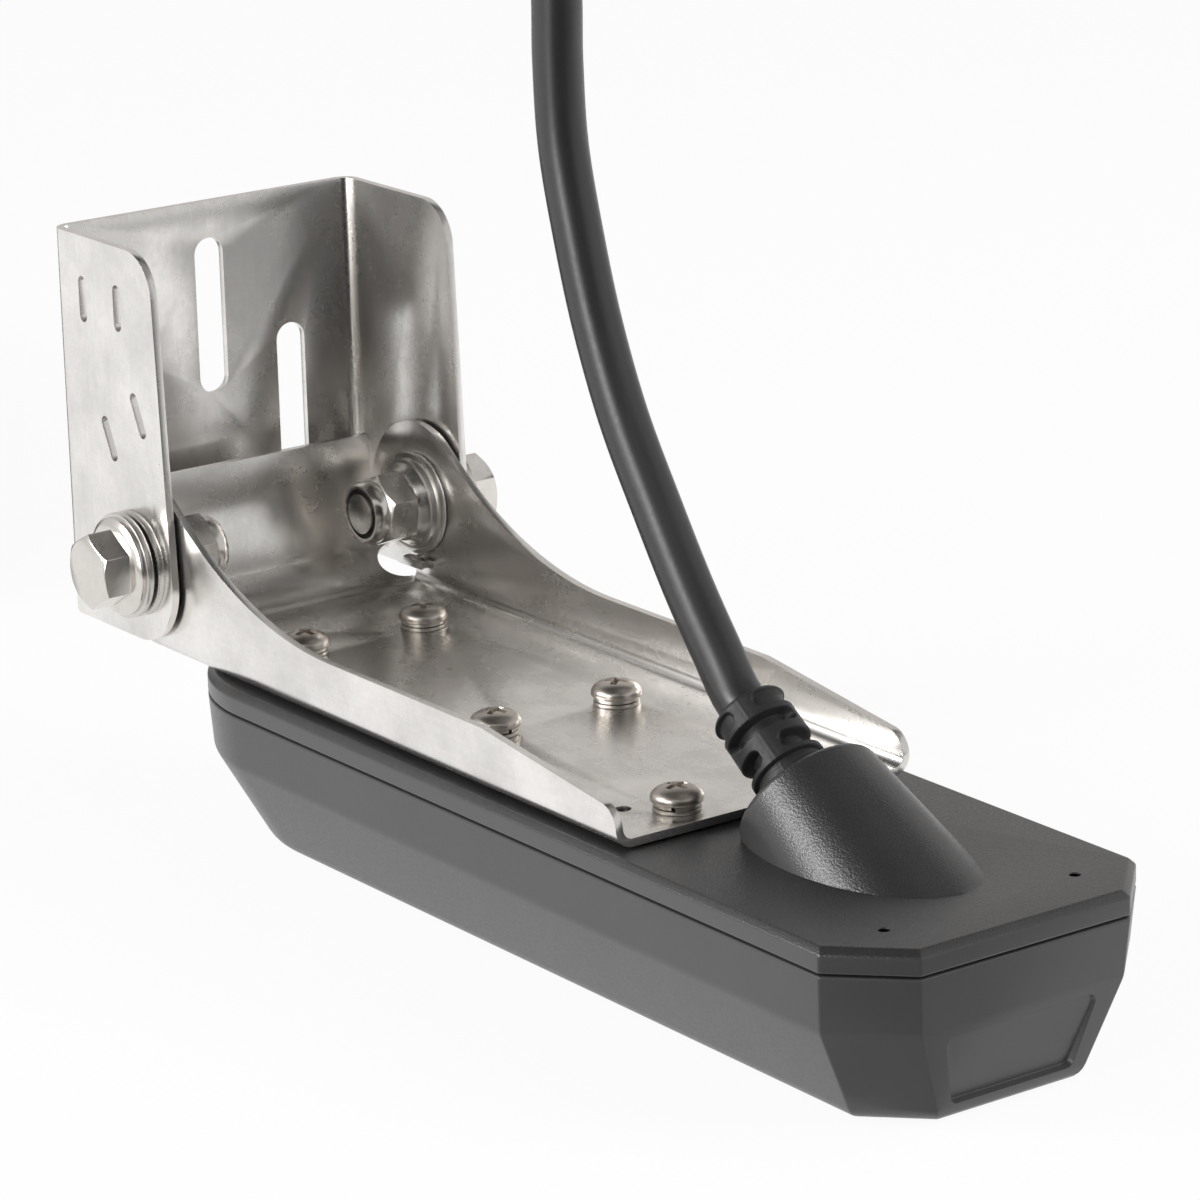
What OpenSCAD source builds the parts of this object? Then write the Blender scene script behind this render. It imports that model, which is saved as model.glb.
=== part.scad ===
// Transom-mount sonar transducer: moulded body, folded steel brackets, pivot, cable.
// +X points to the blunt aft end, -X to the transom, +Z up from the flat bottom.

/* [Body] */
// Length of the moulded body, bow to aft end
body_len = 221; // [205:1:260]
// Width of the moulded body at the seam
body_w = 68; // [64:1:90]
// Height of the seam between housing and cover
seam_z = 28.5; // [26:0.5:36]
// Height of the crease where the lower sides start to slant
crease_z = 18; // [14:0.5:21]
// Width of the flat bottom
bottom_w = 50; // [46:1:58]
// Lean of the walls between seam and crease
wall_draft = 0.7; // [0.2:0.1:1.2]
// Forward set of the bottom's aft edge
aft_bottom_in = 4.5; // [3:0.5:7]
// Aft set of the bottom's bow end
bow_bottom_in = 14; // [10:1:18]
// Leg of the two aft corner facets at the seam
aft_facet = 11.7; // [8:0.1:14]
// Leg of the two aft corner facets at the bottom
bottom_facet = 10; // [7:0.5:12]
// Rounding of the bottom edge
bottom_round = 3; // [1.5:0.5:4]
// Wall and floor thickness of the housing
housing_wall = 3; // [2:0.25:4]
// Depth of the aft window recess
window_depth = 0.9; // [0.4:0.1:1.4]
// Margin of the window from the edges of its face
window_margin = 4.5; // [3:0.5:7]
// Margin of the raised panel in the window
panel_margin = 1; // [0.75:0.25:3]

/* [Cover] */
// Height of the cover's upright edge
cover_edge_h = 3.4; // [2.4:0.1:6]
// Leg of the bevel round the cover's top
cover_bevel = 1.2; // [0.6:0.1:2]
// Width of the seam
seam_gap = 0.3; // [0.2:0.05:0.6]
// Depth of the lip that locates the cover in the housing
lip_h = 2; // [1:0.5:4]
// Thickness of that lip
lip_t = 1.6; // [1:0.1:2.5]
// Height of the pads under the bracket
pad_h = 0.5; // [0.3:0.1:1.5]
// Diameter of the pads and of the bosses below them
boss_d = 11; // [9.5:0.5:14]
// Diameter of the two pilot holes
pilot_d = 2; // [1.2:0.1:3]
// Depth of the pilot holes
pilot_depth = 3; // [1.5:0.5:3.5]
// Pilot holes from the aft end
pilot_in = 11.7; // [9:0.1:14]
// Pilot holes off the centre line
pilot_y = 20.4; // [18:0.2:23]

/* [Gland] */
// Centre of the gland's rim from the aft end
gland_in = 58; // [54:1:62]
// Height of the rim's centre over the cover
gland_up = 6.6; // [5.8:0.2:9]
// Rise of the cable exit over level
gland_rise = 35; // [30:1:42]
// Radius of the gland's rim
gland_r = 13.4; // [12.5:0.1:15]
// Growth of the gland's radius per mm
gland_flare = 0.135; // [0.08:0.005:0.18]
// Rounding of the rim
rim_round = 1.4; // [1:0.2:3]
// Diameter of the cable
cable_d = 9; // [7:0.5:9.5]
// Diameter of the boot's foot
boot_foot_d = 14.8; // [13.6:0.2:16]
// Diameter of the boot's neck under its collar
boot_neck_d = 13; // [12:0.2:13.4]
// Diameter of the boot's collar
boot_collar_d = 13.6; // [13.4:0.2:14.6]
// Length of the boot outside the gland
boot_len = 19.4; // [18.4:0.2:24]
// Length of the boot's collar
collar_len = 5.4; // [5:0.2:7]
// Depth of the boot's seat in the gland
boot_seat = 5; // [3:0.5:7]
// Clearance round the boot's foot
boot_clear = 0.3; // [0.2:0.05:0.5]
// Width of the boot's slots
boot_slot_w = 2.8; // [2:0.1:3.2]
// Sweep of the slots under the collar, degrees
upper_sweep = 140; // [100:2:150]
// Sweep of the slots nearer the foot, degrees
lower_sweep = 124; // [90:2:140]
// Sweep of the shallow recesses in the collar, degrees
recess_sweep = 110; // [80:2:130]
// Depth of those recesses
recess_depth = 0.7; // [0.3:0.1:1]

/* [Sheet] */
// Thickness of the bracket sheet
sheet_t = 1.5; // [1.2:0.1:2]
// Inside radius of the folds
fold_r = 2; // [1.5:0.25:3]

/* [Transducer bracket] */
// Front edge of the bracket from the aft end
bracket_in = 69; // [66:0.5:72]
// Height of the side flanges in the middle
flange_h = 12; // [10.5:0.2:14]
// Height of the side flanges in front
flange_front_h = 7.6; // [6.8:0.1:10]
// Length of the taper of the flanges in front
flange_taper = 40; // [30:1:60]
// Rounding of the flanges' front ends
flange_round = 4.5; // [3:0.5:6]
// Radius of the ears about the pivot
ear_r = 16.2; // [14:0.2:17]
// Radius of the sweep from ear to flange
sweep_r = 85; // [70:1:100]
// Outside radius of the curled back wall
curl_r = 22; // [19:0.5:23]
// Pivot to the outer face of the back wall
wall_back = 17; // [15:0.5:18]
// Height of the back wall over the bracket's underside
wall_h = 28.6; // [26:0.2:29]
// Gap between the back wall and the ears
wall_side_gap = 1; // [0.6:0.1:2]
// Radius of the corner reliefs in the sides of the curl
relief_r = 4.75; // [4:0.25:6]
// Turn of the corner reliefs round the curl, from level
relief_turn = 59; // [54:1:64]
// Run of the side folds under the curl
fold_lap = 6.4; // [5:0.2:7]
// Diameter of the two small holes near the front
drain_d = 3; // [2:0.2:4]
// Small holes behind the front edge
drain_in = 13.4; // [11:0.2:17]
// Small holes off the centre line
drain_y = 20.8; // [19.4:0.2:22]

/* [Transom bracket] */
// Half width over the two flanges
transom_half = 34.2; // [32.4:0.1:38]
// Pivot to the back face
plate_back = 26.2; // [25:0.2:32]
// Pivot to the top edge
plate_up = 61.2; // [59:0.2:75]
// Pivot to the front edge of the flanges
plate_front = 12.6; // [12:0.2:15]
// Pivot down to the lower edge
plate_low = 15.2; // [13:0.2:16]
// Lean of the flanges' front edge over its height
front_lean = 2.6; // [0:0.2:5]
// Rounding of the lower front corners
lobe_r = 12.6; // [8:0.2:13]
// Rounding of the lower back corners
heel_r = 4; // [2:0.5:8]
// Rounding of the upper front corners
corner_r = 8.5; // [5:0.5:11]
// Width of the three screw slots
slot_w = 6.5; // [5:0.1:7.5]
// Length of the screw slots, end to end
slot_len = 31.2; // [26:0.2:34]
// Lower end of the middle slot over the pivot
mid_slot_up = 22.7; // [20:0.1:25]
// Lower end of the side slots over the pivot
side_slot_up = 2.8; // [1:0.2:6]
// Side slots off the middle
side_slot_y = 18; // [14:0.5:19]
// Width of the cable-tie slots
tie_slot_w = 2.6; // [2:0.1:3.5]
// Length of the cable-tie slots, end to end
tie_slot_len = 9; // [7:0.2:10]
// Lean of the lower pair of cable-tie slots
tie_slot_lean = 25; // [10:1:40]

/* [Pivot] */
// Height of the pivot over the bracket's underside
pivot_up = 17.7; // [17.2:0.1:19]
// Pivot aft of the bow
pivot_in = 1; // [0:0.5:4]
// Diameter of the pivot bolts
bolt_d = 8; // [6:0.5:8]
// Clearance round the bolts in the brackets
bolt_clear = 0.3; // [0.2:0.05:0.5]
// Diameter of the steel washers
washer_d = 20.4; // [18:0.2:22]
// Thickness of the steel washers
washer_t = 1.4; // [1:0.1:2]
// Diameter of the dark washers
dark_washer_d = 19; // [16:0.2:20]
// Thickness of the dark washers
dark_washer_t = 0.9; // [0.6:0.1:2]
// Thickness of the friction washers between the brackets
friction_t = 0.6; // [0.4:0.1:2]
// Running gap beside the friction washers and the inner washers
run_gap = 0.1; // [0.05:0.05:0.2]
// Diameter of the washers under the nuts
nut_washer_d = 18; // [16.8:0.2:19]
// Thickness of the washers under the nuts
nut_washer_t = 1.2; // [0.8:0.1:2]
// Width across flats of bolt heads and nuts
hex_af = 13; // [11:0.5:13]
// Height of the hexagon of the bolt head
head_h = 5.7; // [4.5:0.1:6.5]
// Diameter of the flange under the bolt head
head_flange_d = 19; // [17:0.2:20]
// Thickness of that flange
head_flange_t = 1.7; // [1.2:0.1:2.5]
// Height of the nut's hexagon
nut_h = 6.2; // [5:0.2:7]
// Diameter of the flange under the nut
nut_flange_d = 16.6; // [15.5:0.2:18]
// Thickness of that flange
nut_flange_t = 1.8; // [1:0.1:3]
// Height of the nut's collar with the nylon ring
nut_collar_h = 2.8; // [2:0.1:3.5]
// Bolt end that stands out of the nut
bolt_end = 0.4; // [0.2:0.1:2]

/* [Screws] */
// Thread diameter of the bracket screws
screw_d = 5; // [4:0.5:5]
// Length of the screws under the head
screw_len = 12; // [11:0.5:12]
// Head diameter
screw_head_d = 9.4; // [8.5:0.1:10.4]
// Head height
screw_head_h = 2.8; // [2.4:0.1:3.4]
// Diameter of the washers under the heads
screw_washer_d = 8.6; // [8:0.1:10]
// Thickness of the lock washers
lock_t = 0.9; // [0.6:0.1:1.4]
// Thickness of the flat washers
flat_t = 0.7; // [0.5:0.1:1.2]
// Clearance round the screws
screw_clear = 0.25; // [0.15:0.05:0.5]
// Screws off the centre line
screw_y = 13.5; // [12:0.5:15]
// First screw row from the bow
screw_bow_in = 27; // [25:0.5:30]
// Second screw row behind the first
screw_pitch = 63; // [55:0.5:68]
// Third screw row from the aft end
screw_aft_in = 76.5; // [75:0.5:79]
// Outer diameter of the threaded inserts
insert_d = 7.2; // [6.6:0.1:8]
// Length of the threaded inserts
insert_len = 9; // [8:0.5:10]

/* [Elements] */
// Gap of the bond under each element
bond_gap = 0.2; // [0.1:0.05:0.3]
// Length of the side elements
side_len = 120; // [90:1:130]
// Height of the side elements
side_h = 9; // [6:0.5:10]
// Thickness of the side elements
side_t = 2.5; // [1.5:0.25:4]
// Length of the down element
down_len = 110; // [80:1:120]
// Width of the down element
down_w = 8; // [5:0.5:12]
// Thickness of the elements on the floor
down_t = 3; // [2:0.25:4]
// Diameter of the disc element
disc_d = 36; // [25:1:38]
// Thickness of the disc element
disc_t = 7; // [4:0.5:9]
// Thickness of the backing disc
disc_back_t = 4; // [2:0.5:5]
// Width of the backing block
block_w = 24; // [16:1:28]
// Height of the backing block
block_h = 7; // [4:0.5:8]
// Length of the terminal board
board_len = 70; // [50:1:90]
// Thickness of the terminal board
board_t = 1.6; // [1:0.2:2]

/* [Connector] */
// Diameter of the connector body
plug_d = 17; // [15:0.5:18]
// Length of the connector body
plug_len = 46; // [40:1:54]
// Diameter of the locking collar
lock_ring_d = 21; // [20:0.2:22]
// Length of the locking collar
lock_ring_len = 20; // [14:0.5:22]
// Diameter of the pins
pin_d = 1.2; // [0.8:0.1:1.6]

/* [Hidden] */
$fn = 64;
skin = 0.01;
eps = 0.02;
far = 300;

// Main stations along the object and up it
set_back = 24;
overall = body_len - pivot_in + set_back;
aft_x = overall / 2;
bow_x = aft_x - body_len;
pivot_x = bow_x + pivot_in;
cover_z = seam_z + cover_edge_h + cover_bevel;
plate_z = cover_z + pad_h;
plate_top = plate_z + sheet_t;
pivot_z = plate_z + pivot_up;
half_w = body_w / 2;
bottom_half = bottom_w / 2;
crease_half = half_w - wall_draft;
aft_bottom_x = aft_x - aft_bottom_in;

// Slant of the lower faces from upright
side_slant = atan((crease_half - bottom_half) / crease_z);
aft_slant = atan((aft_bottom_in - wall_draft) / crease_z);

// An outline at one height: [height, bow end, aft end, half width, facet leg]
seam_level = [seam_z, bow_x, aft_x, half_w, aft_facet];
crease_level = [crease_z, bow_x + wall_draft, aft_x - wall_draft, crease_half, aft_facet];
bottom_level = [0, bow_x + bow_bottom_in, aft_bottom_x, bottom_half, bottom_facet];
function inset(l, d) = [l[0], l[1] + d, l[2] - d, l[3] - d, l[4]];
function at_height(l, z) = [z, l[1], l[2], l[3], l[4]];
function between(a, b, z) = a + (b - a) * (z - a[0]) / (b[0] - a[0]);

// Rounded bottom edge: arc levels from the flat bottom to the slanted sides
round_turn = 90 - side_slant;
round_reach = bottom_round / tan((90 + side_slant) / 2);
round_steps = 4;
function round_level(a) =
    let (d = round_reach - bottom_round * sin(a),
         aft_d = d > 0 ? d : d * tan(aft_slant) / tan(side_slant))
    [bottom_round * (1 - cos(a)), bottom_level[1] + d, bottom_level[2] - aft_d, bottom_half - d, bottom_facet];

module outline(l) {
    middle = l[1] + l[3];
    translate([middle, 0])
        circle(l[3]);
    polygon([[middle, -l[3]], [l[2] - l[4], -l[3]], [l[2], -l[3] + l[4]],
             [l[2], l[3] - l[4]], [l[2] - l[4], l[3]], [middle, l[3]]]);
}

module loft(levels) {
    hull()
        for (l = levels)
            translate([0, 0, l[0]])
                linear_extrude(skin)
                    outline(l);
}

module both_sides() {
    children();
    mirror([0, 1, 0])
        children();
}

// Polygon with rounded corners from straight pieces and circles
module slot_shape(w, len) {
    square([w, len - w], center = true);
    for (s = [-1, 1])
        translate([0, s * (len - w) / 2])
            circle(w / 2);
}

// Aft window, drawn on the slanted aft face: y across, height along the face
face_len = crease_z / cos(aft_slant);
face_top_half = crease_half - aft_facet;
face_bottom_half = bottom_half - bottom_facet;
window_top = face_len - 1.6;
window_bottom = bottom_round + 0.2;
module window_shape(m) {
    low = window_bottom + m;
    high = window_top - m;
    grow = (face_top_half - face_bottom_half) / face_len;
    low_half = face_bottom_half + grow * low - window_margin * 0.75 - m;
    high_half = face_bottom_half + grow * high - window_margin - m;
    polygon([[-low_half, low], [low_half, low], [high_half, high], [-high_half, high]]);
}

module on_aft_face() {
    translate([aft_bottom_x, 0, 0])
        rotate([0, aft_slant, 0])
            rotate([90, 0, 90])
                children();
}

housing_top = seam_z - seam_gap / 2;
module housing() {
    color([0.24, 0.24, 0.25])
    difference() {
        loft(concat([for (k = [0:round_steps]) round_level(k * round_turn / round_steps)],
                    [crease_level, at_height(seam_level, housing_top - skin)]));
        loft([inset(between(bottom_level, crease_level, housing_wall), housing_wall),
              inset(crease_level, housing_wall),
              at_height(inset(seam_level, housing_wall), seam_z)]);
        on_aft_face()
            translate([0, 0, -window_depth])
                linear_extrude(window_depth * 4)
                    difference() {
                        window_shape(0);
                        window_shape(panel_margin);
                    }
        on_aft_face()
            translate([0, 0, -window_depth * 0.4])
                linear_extrude(window_depth * 4)
                    window_shape(panel_margin - eps);
    }
}

// Screw rows shared by cover, inserts, bracket and screws
screw_rows = [bow_x + screw_bow_in, bow_x + screw_bow_in + screw_pitch, aft_x - screw_aft_in];
module at_screws() {
    for (x = screw_rows)
        for (s = [-1, 1])
            translate([x, s * screw_y, 0])
                children();
}

// Gland axis: +Z runs out along the cable from the rim's centre
rim_x = aft_x - gland_in;
rim_z = cover_z + gland_up;
module on_gland() {
    translate([rim_x, 0, rim_z])
        rotate([0, gland_rise - 90, 0])
            children();
}
gland_len = 56;
stem_len = 26;
stem_d = cable_d;
boot_seat_d = boot_foot_d + 2 * boot_clear;

module gland() {
    rim_at = gland_r - rim_round;
    intersection() {
        on_gland()
            rotate_extrude()
                polygon(concat([[0, -gland_len], [0, 0]],
                    [for (a = [90:-15:0])
                        [rim_at + rim_round * cos(a), -rim_round + rim_round * sin(a)]],
                    [[gland_r + gland_flare * gland_len, -gland_len]]));
        translate([rim_x - 2 * gland_r, -far / 2, cover_z - 1])
            cube([far, far, 4 * gland_r]);
    }
}

cover_low = seam_z + seam_gap / 2;
boss_low = plate_z - insert_len - 1.4;
module top_cover() {
    color([0.19, 0.19, 0.2])
    difference() {
        union() {
            loft([at_height(seam_level, cover_low),
                  at_height(seam_level, seam_z + cover_edge_h),
                  at_height(inset(seam_level, cover_bevel), cover_z - skin)]);
            translate([0, 0, housing_top - lip_h])
                linear_extrude(lip_h + seam_gap + eps)
                    difference() {
                        outline(inset(seam_level, housing_wall + 0.4));
                        outline(inset(seam_level, housing_wall + 0.4 + lip_t));
                    }
            at_screws()
                translate([0, 0, boss_low])
                    cylinder(h = plate_z - boss_low, d = boss_d);
            gland();
        }
        at_screws()
            translate([0, 0, plate_z - insert_len])
                cylinder(h = insert_len + 1, d = insert_d + 0.1);
        both_sides()
            translate([aft_x - pilot_in, pilot_y, cover_z - pilot_depth])
                cylinder(h = pilot_depth + 1, d = pilot_d);
        on_gland() {
            translate([0, 0, -boot_seat])
                cylinder(h = boot_seat + 1, d = boot_seat_d);
            translate([0, 0, -gland_len * 0.7])
                cylinder(h = gland_len * 0.7, d = stem_d + 2 * boot_clear);
        }
    }
}

module cover_seal() {
    color([0.03, 0.03, 0.03])
    translate([0, 0, housing_top])
        linear_extrude(seam_gap)
            difference() {
                outline(inset(seam_level, 0.5));
                outline(inset(seam_level, housing_wall - 0.4));
            }
}

// Inner elements, bonded to the housing's floor and slanted sides
element_x = aft_x - 97;
floor_z = housing_wall + bond_gap;
side_mid_z = 10;
side_wall_y = bottom_half - housing_wall + side_mid_z * tan(side_slant);
side_off = bond_gap + side_t / 2;

module side_element() {
    translate([element_x, side_wall_y - side_off * cos(side_slant), side_mid_z + side_off * sin(side_slant)])
        rotate([-side_slant, 0, 0])
            cube([side_len, side_t, side_h], center = true);
}

module side_element_near() {
    color([0.72, 0.68, 0.6])
    mirror([0, 1, 0])
        side_element();
}

module side_element_far() {
    color([0.72, 0.68, 0.6])
    side_element();
}

module down_element() {
    color([0.72, 0.68, 0.6])
    translate([element_x - down_len / 2, -down_w / 2, floor_z])
        cube([down_len, down_w, down_t]);
}

disc_x = bow_x + disc_d / 2 + 22;
module disc_element() {
    color([0.72, 0.68, 0.6])
    translate([disc_x, 0, floor_z])
        cylinder(h = disc_t, d = disc_d);
}

module disc_backing() {
    color([0.45, 0.33, 0.22])
    translate([disc_x, 0, floor_z + disc_t])
        cylinder(h = disc_back_t, d = disc_d);
}

block_z = floor_z + down_t;
module backing_block() {
    color([0.45, 0.33, 0.22])
    translate([element_x - down_len / 2, -block_w / 2, block_z])
        cube([down_len, block_w, block_h]);
}

board_w = block_w - 4;
module terminal_board() {
    color([0.1, 0.35, 0.2])
    translate([element_x - board_len / 2, -board_w / 2, block_z + block_h])
        cube([board_len, board_w, board_t]);
}

sensor_size = [6, 4, 3];
module temperature_sensor() {
    color([0.12, 0.12, 0.12])
    translate([aft_bottom_x - 16, -sensor_size[1] / 2, floor_z])
        cube(sensor_size);
}

module threaded_inserts() {
    color([0.75, 0.6, 0.3])
    at_screws()
        translate([0, 0, plate_z - insert_len])
            difference() {
                cylinder(h = insert_len, d = insert_d);
                translate([0, 0, -1])
                    cylinder(h = insert_len + 2, d = screw_d + 0.1);
            }
}

// Transducer bracket: folded channel, swept flanges, ears and curled back wall
low_half = transom_half - sheet_t - friction_t - run_gap;
front_x = aft_x - bracket_in;
wall_x = pivot_x - wall_back;
curl_x = wall_x + curl_r;
flange_z = plate_z + flange_h;
front_z = plate_z + flange_front_h;
sweep_z = flange_z + sweep_r;
touch = ear_r + sweep_r;
sweep_x = pivot_x + sqrt(touch * touch - (sweep_z - pivot_z) * (sweep_z - pivot_z));
sweep_at = [pivot_x, pivot_z] + [sweep_x - pivot_x, sweep_z - pivot_z] * ear_r / touch;
wall_half = low_half - sheet_t - wall_side_gap;

module channel_shape(half, h, r) {
    translate([-(half - r), 0])
        square([2 * (half - r), h]);
    translate([-half, r])
        square([2 * half, h - r]);
    for (s = [-1, 1])
        translate([s * (half - r), r])
            circle(r);
}

module folded_shape(half, h) {
    difference() {
        channel_shape(half, h, fold_r + sheet_t);
        translate([0, sheet_t])
            channel_shape(half - sheet_t, h, fold_r);
    }
}

// Side view of the flanges: x across, z up
module flange_side() {
    translate([pivot_x, pivot_z])
        circle(ear_r);
    difference() {
        polygon([[pivot_x, plate_z], [sweep_x, plate_z], [sweep_x, flange_z], sweep_at, [pivot_x, pivot_z]]);
        translate([sweep_x, sweep_z])
            circle(sweep_r, $fn = 180);
    }
    polygon([[sweep_x - eps, plate_z], [front_x, plate_z], [front_x, front_z - flange_round],
             [front_x - flange_round, front_z - flange_round], [front_x - flange_round, front_z],
             [front_x - flange_taper, flange_z], [sweep_x - eps, flange_z]]);
    translate([front_x - flange_round, front_z - flange_round])
        circle(flange_round);
}

module across(w) {
    rotate([90, 0, 0])
        linear_extrude(w, center = true)
            children();
}

module curled_wall() {
    across(2 * wall_half) {
        intersection() {
            difference() {
                translate([curl_x, plate_z + curl_r])
                    circle(curl_r);
                translate([curl_x, plate_z + curl_r])
                    circle(curl_r - sheet_t);
            }
            translate([wall_x - 1, plate_z - 1])
                square([curl_r + 1 + eps, curl_r + 1]);
        }
        translate([wall_x, plate_z + curl_r - eps])
            square([sheet_t, wall_h - curl_r + eps]);
    }
}

module transducer_bracket() {
    color([0.78, 0.77, 0.75])
    difference() {
        union() {
            intersection() {
                translate([curl_x, 0, plate_z])
                    rotate([90, 0, 90])
                        linear_extrude(front_x - curl_x)
                            folded_shape(low_half, far);
                across(far)
                    flange_side();
            }
            intersection() {
                translate([curl_x - fold_lap, 0, plate_z])
                    rotate([90, 0, 90])
                        linear_extrude(fold_lap + eps)
                            folded_shape(low_half, fold_r + sheet_t + eps);
                both_sides()
                    translate([curl_x - far, wall_half - fold_r, 0])
                        cube(far);
            }
            intersection() {
                across(far)
                    flange_side();
                both_sides()
                    translate([pivot_x - far / 2, low_half - sheet_t, plate_z + fold_r + sheet_t])
                        cube([far / 2 + curl_x - pivot_x + eps, sheet_t, far]);
            }
            curled_wall();
        }
        translate([pivot_x, 0, pivot_z])
            rotate([90, 0, 0])
                cylinder(h = far, d = bolt_d + 2 * bolt_clear, center = true);
        at_screws()
            cylinder(h = far, d = screw_d + 2 * screw_clear);
        both_sides()
            translate([front_x - drain_in, drain_y, 0])
                cylinder(h = far, d = drain_d);
        both_sides()
            intersection() {
                translate([curl_x, wall_half, plate_z + curl_r])
                    rotate([0, -90 - relief_turn, 0])
                        translate([0, 0, curl_r - 2 * sheet_t])
                            cylinder(h = 3 * sheet_t, r = relief_r);
                translate([curl_x - far, wall_half - far / 2, 0])
                    cube([far, far / 2 + wall_side_gap / 2, far]);
            }
    }
}

// Pan head screw with a cross recess, head seat at the origin
module pan_screw() {
    crown = 0.9;
    difference() {
        union() {
            rotate_extrude()
                polygon(concat([[0, 0], [screw_head_d / 2, 0], [screw_head_d / 2, crown * 0.7]],
                    [for (a = [15:15:90])
                        [screw_head_d / 2 * cos(a), crown * 0.7 + (screw_head_h - crown * 0.7) * sin(a)]]));
            translate([0, 0, -screw_len])
                cylinder(h = screw_len, d = screw_d);
        }
        for (a = [0, 90])
            rotate([0, 0, a])
                translate([-screw_head_d * 0.24, -0.5, screw_head_h - 1.3])
                    cube([screw_head_d * 0.48, 1, 3]);
    }
}

module washer(d, hole, t) {
    difference() {
        cylinder(h = t, d = d);
        translate([0, 0, -1])
            cylinder(h = t + 2, d = hole);
    }
}

module mounting_screws() {
    color([0.75, 0.74, 0.72])
    at_screws()
        translate([0, 0, plate_top + flat_t + lock_t])
            rotate([0, 0, 20])
                pan_screw();
}

module lock_washers() {
    color([0.66, 0.65, 0.63])
    at_screws()
        translate([0, 0, plate_top + flat_t])
            difference() {
                washer(screw_washer_d - 0.4, screw_d + 2 * screw_clear, lock_t);
                rotate([0, 0, -70])
                    translate([0, -0.3, -1])
                        cube([screw_washer_d, 0.6, lock_t + 2]);
            }
}

module flat_washers() {
    color([0.72, 0.71, 0.69])
    at_screws()
        translate([0, 0, plate_top])
            washer(screw_washer_d, screw_d + 2 * screw_clear, flat_t);
}

// Transom bracket: folded U with a back plate, two flanges and slots
back_x = pivot_x - plate_back;
front_edge_x = pivot_x + plate_front;
top_z = pivot_z + plate_up;

low_z = pivot_z - plate_low;
module transom_side() {
    lobe_at = [front_edge_x - lobe_r, low_z + lobe_r];
    heel_at = [back_x + heel_r, low_z + heel_r];
    corner_at = [front_edge_x - front_lean - corner_r, top_z - corner_r];
    translate(lobe_at)
        circle(lobe_r);
    translate(heel_at)
        circle(heel_r);
    translate(corner_at)
        circle(corner_r);
    polygon([[back_x, heel_at[1]], heel_at, [heel_at[0], low_z], [lobe_at[0], low_z], lobe_at,
             [front_edge_x, lobe_at[1]], [front_edge_x - front_lean, corner_at[1]], corner_at,
             [corner_at[0], top_z], [back_x, top_z]]);
}

module back_slot(y, low) {
    translate([back_x, y, pivot_z + low + slot_len / 2])
        rotate([90, 0, 90])
            linear_extrude(4 * sheet_t, center = true)
                slot_shape(slot_w, slot_len);
}

// Cable-tie slots of the near flange: [from pivot, over pivot, lean]
tie_slots = [[-15.2, 48.8, 0], [-2.6, 49.2, 0], [-7.8, 22.8, 1], [3.2, 29.4, 1]];

module transom_bracket() {
    color([0.78, 0.77, 0.75])
    difference() {
        intersection() {
            translate([0, 0, low_z - 1])
                linear_extrude(plate_up + plate_low + 2)
                    translate([back_x, 0])
                        rotate([0, 0, -90])
                            folded_shape(transom_half, front_edge_x - back_x);
            across(far)
                transom_side();
        }
        back_slot(0, mid_slot_up);
        for (s = [-1, 1])
            back_slot(s * side_slot_y, side_slot_up);
        for (t = tie_slots)
            translate([pivot_x + t[0], -transom_half, pivot_z + t[1]])
                rotate([90, 0, 0])
                    rotate([0, 0, t[2] * tie_slot_lean])
                        linear_extrude(4 * sheet_t, center = true)
                            slot_shape(tie_slot_w, tie_slot_len);
        translate([pivot_x, 0, pivot_z])
            rotate([90, 0, 0])
                cylinder(h = far, d = bolt_d + 2 * bolt_clear, center = true);
    }
}

// Pivot stack along Y, from the flange outwards and from the ear inwards
stack_1 = transom_half + washer_t;
stack_2 = stack_1 + dark_washer_t;
stack_3 = stack_2 + washer_t;
ear_in = low_half - sheet_t;
nut_seat = ear_in - run_gap - washer_t - nut_washer_t;
nut_end = nut_seat - nut_flange_t - nut_h;
bolt_tip = nut_end - nut_collar_h - bolt_end;

module on_pivot(y) {
    both_sides()
        translate([pivot_x, y, pivot_z])
            rotate([-90, 0, 0])
                children();
}

module hexagon(h) {
    cylinder(h = h, d = hex_af / cos(30), $fn = 6);
}

// Hexagon whose corners are trimmed by a cone at its outer end
trim_slope = 1.7;
module trimmed_hexagon(h, turn) {
    trim_r = hex_af * 0.475;
    intersection() {
        rotate([0, 0, turn])
            hexagon(h);
        cylinder(h = h, r1 = trim_r + trim_slope * h, r2 = trim_r);
    }
}

module pivot_bolts() {
    color([0.8, 0.79, 0.77])
    on_pivot(stack_3) {
        cylinder(h = head_flange_t * 0.5, d = head_flange_d);
        translate([0, 0, head_flange_t * 0.5])
            cylinder(h = head_flange_t * 0.5, d1 = head_flange_d, d2 = hex_af + 3);
        translate([0, 0, head_flange_t])
            trimmed_hexagon(head_h, 30);
        translate([0, 0, bolt_tip - stack_3])
            cylinder(h = stack_3 - bolt_tip, d = bolt_d);
    }
}

module pivot_washers() {
    color([0.7, 0.69, 0.67])
    for (y = [transom_half, stack_2])
        on_pivot(y)
            washer(washer_d, bolt_d + bolt_clear, washer_t);
}

module dark_washers() {
    color([0.12, 0.12, 0.12])
    on_pivot(stack_1)
        washer(dark_washer_d, bolt_d + bolt_clear, dark_washer_t);
}

module friction_washers() {
    color([0.1, 0.1, 0.1])
    on_pivot(low_half + run_gap)
        washer(washer_d - 1, bolt_d + bolt_clear, friction_t);
}

module inner_washers() {
    color([0.7, 0.69, 0.67])
    on_pivot(nut_seat) {
        washer(nut_washer_d, bolt_d + bolt_clear, nut_washer_t);
        translate([0, 0, nut_washer_t])
            washer(washer_d, bolt_d + bolt_clear, washer_t);
    }
}

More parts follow.
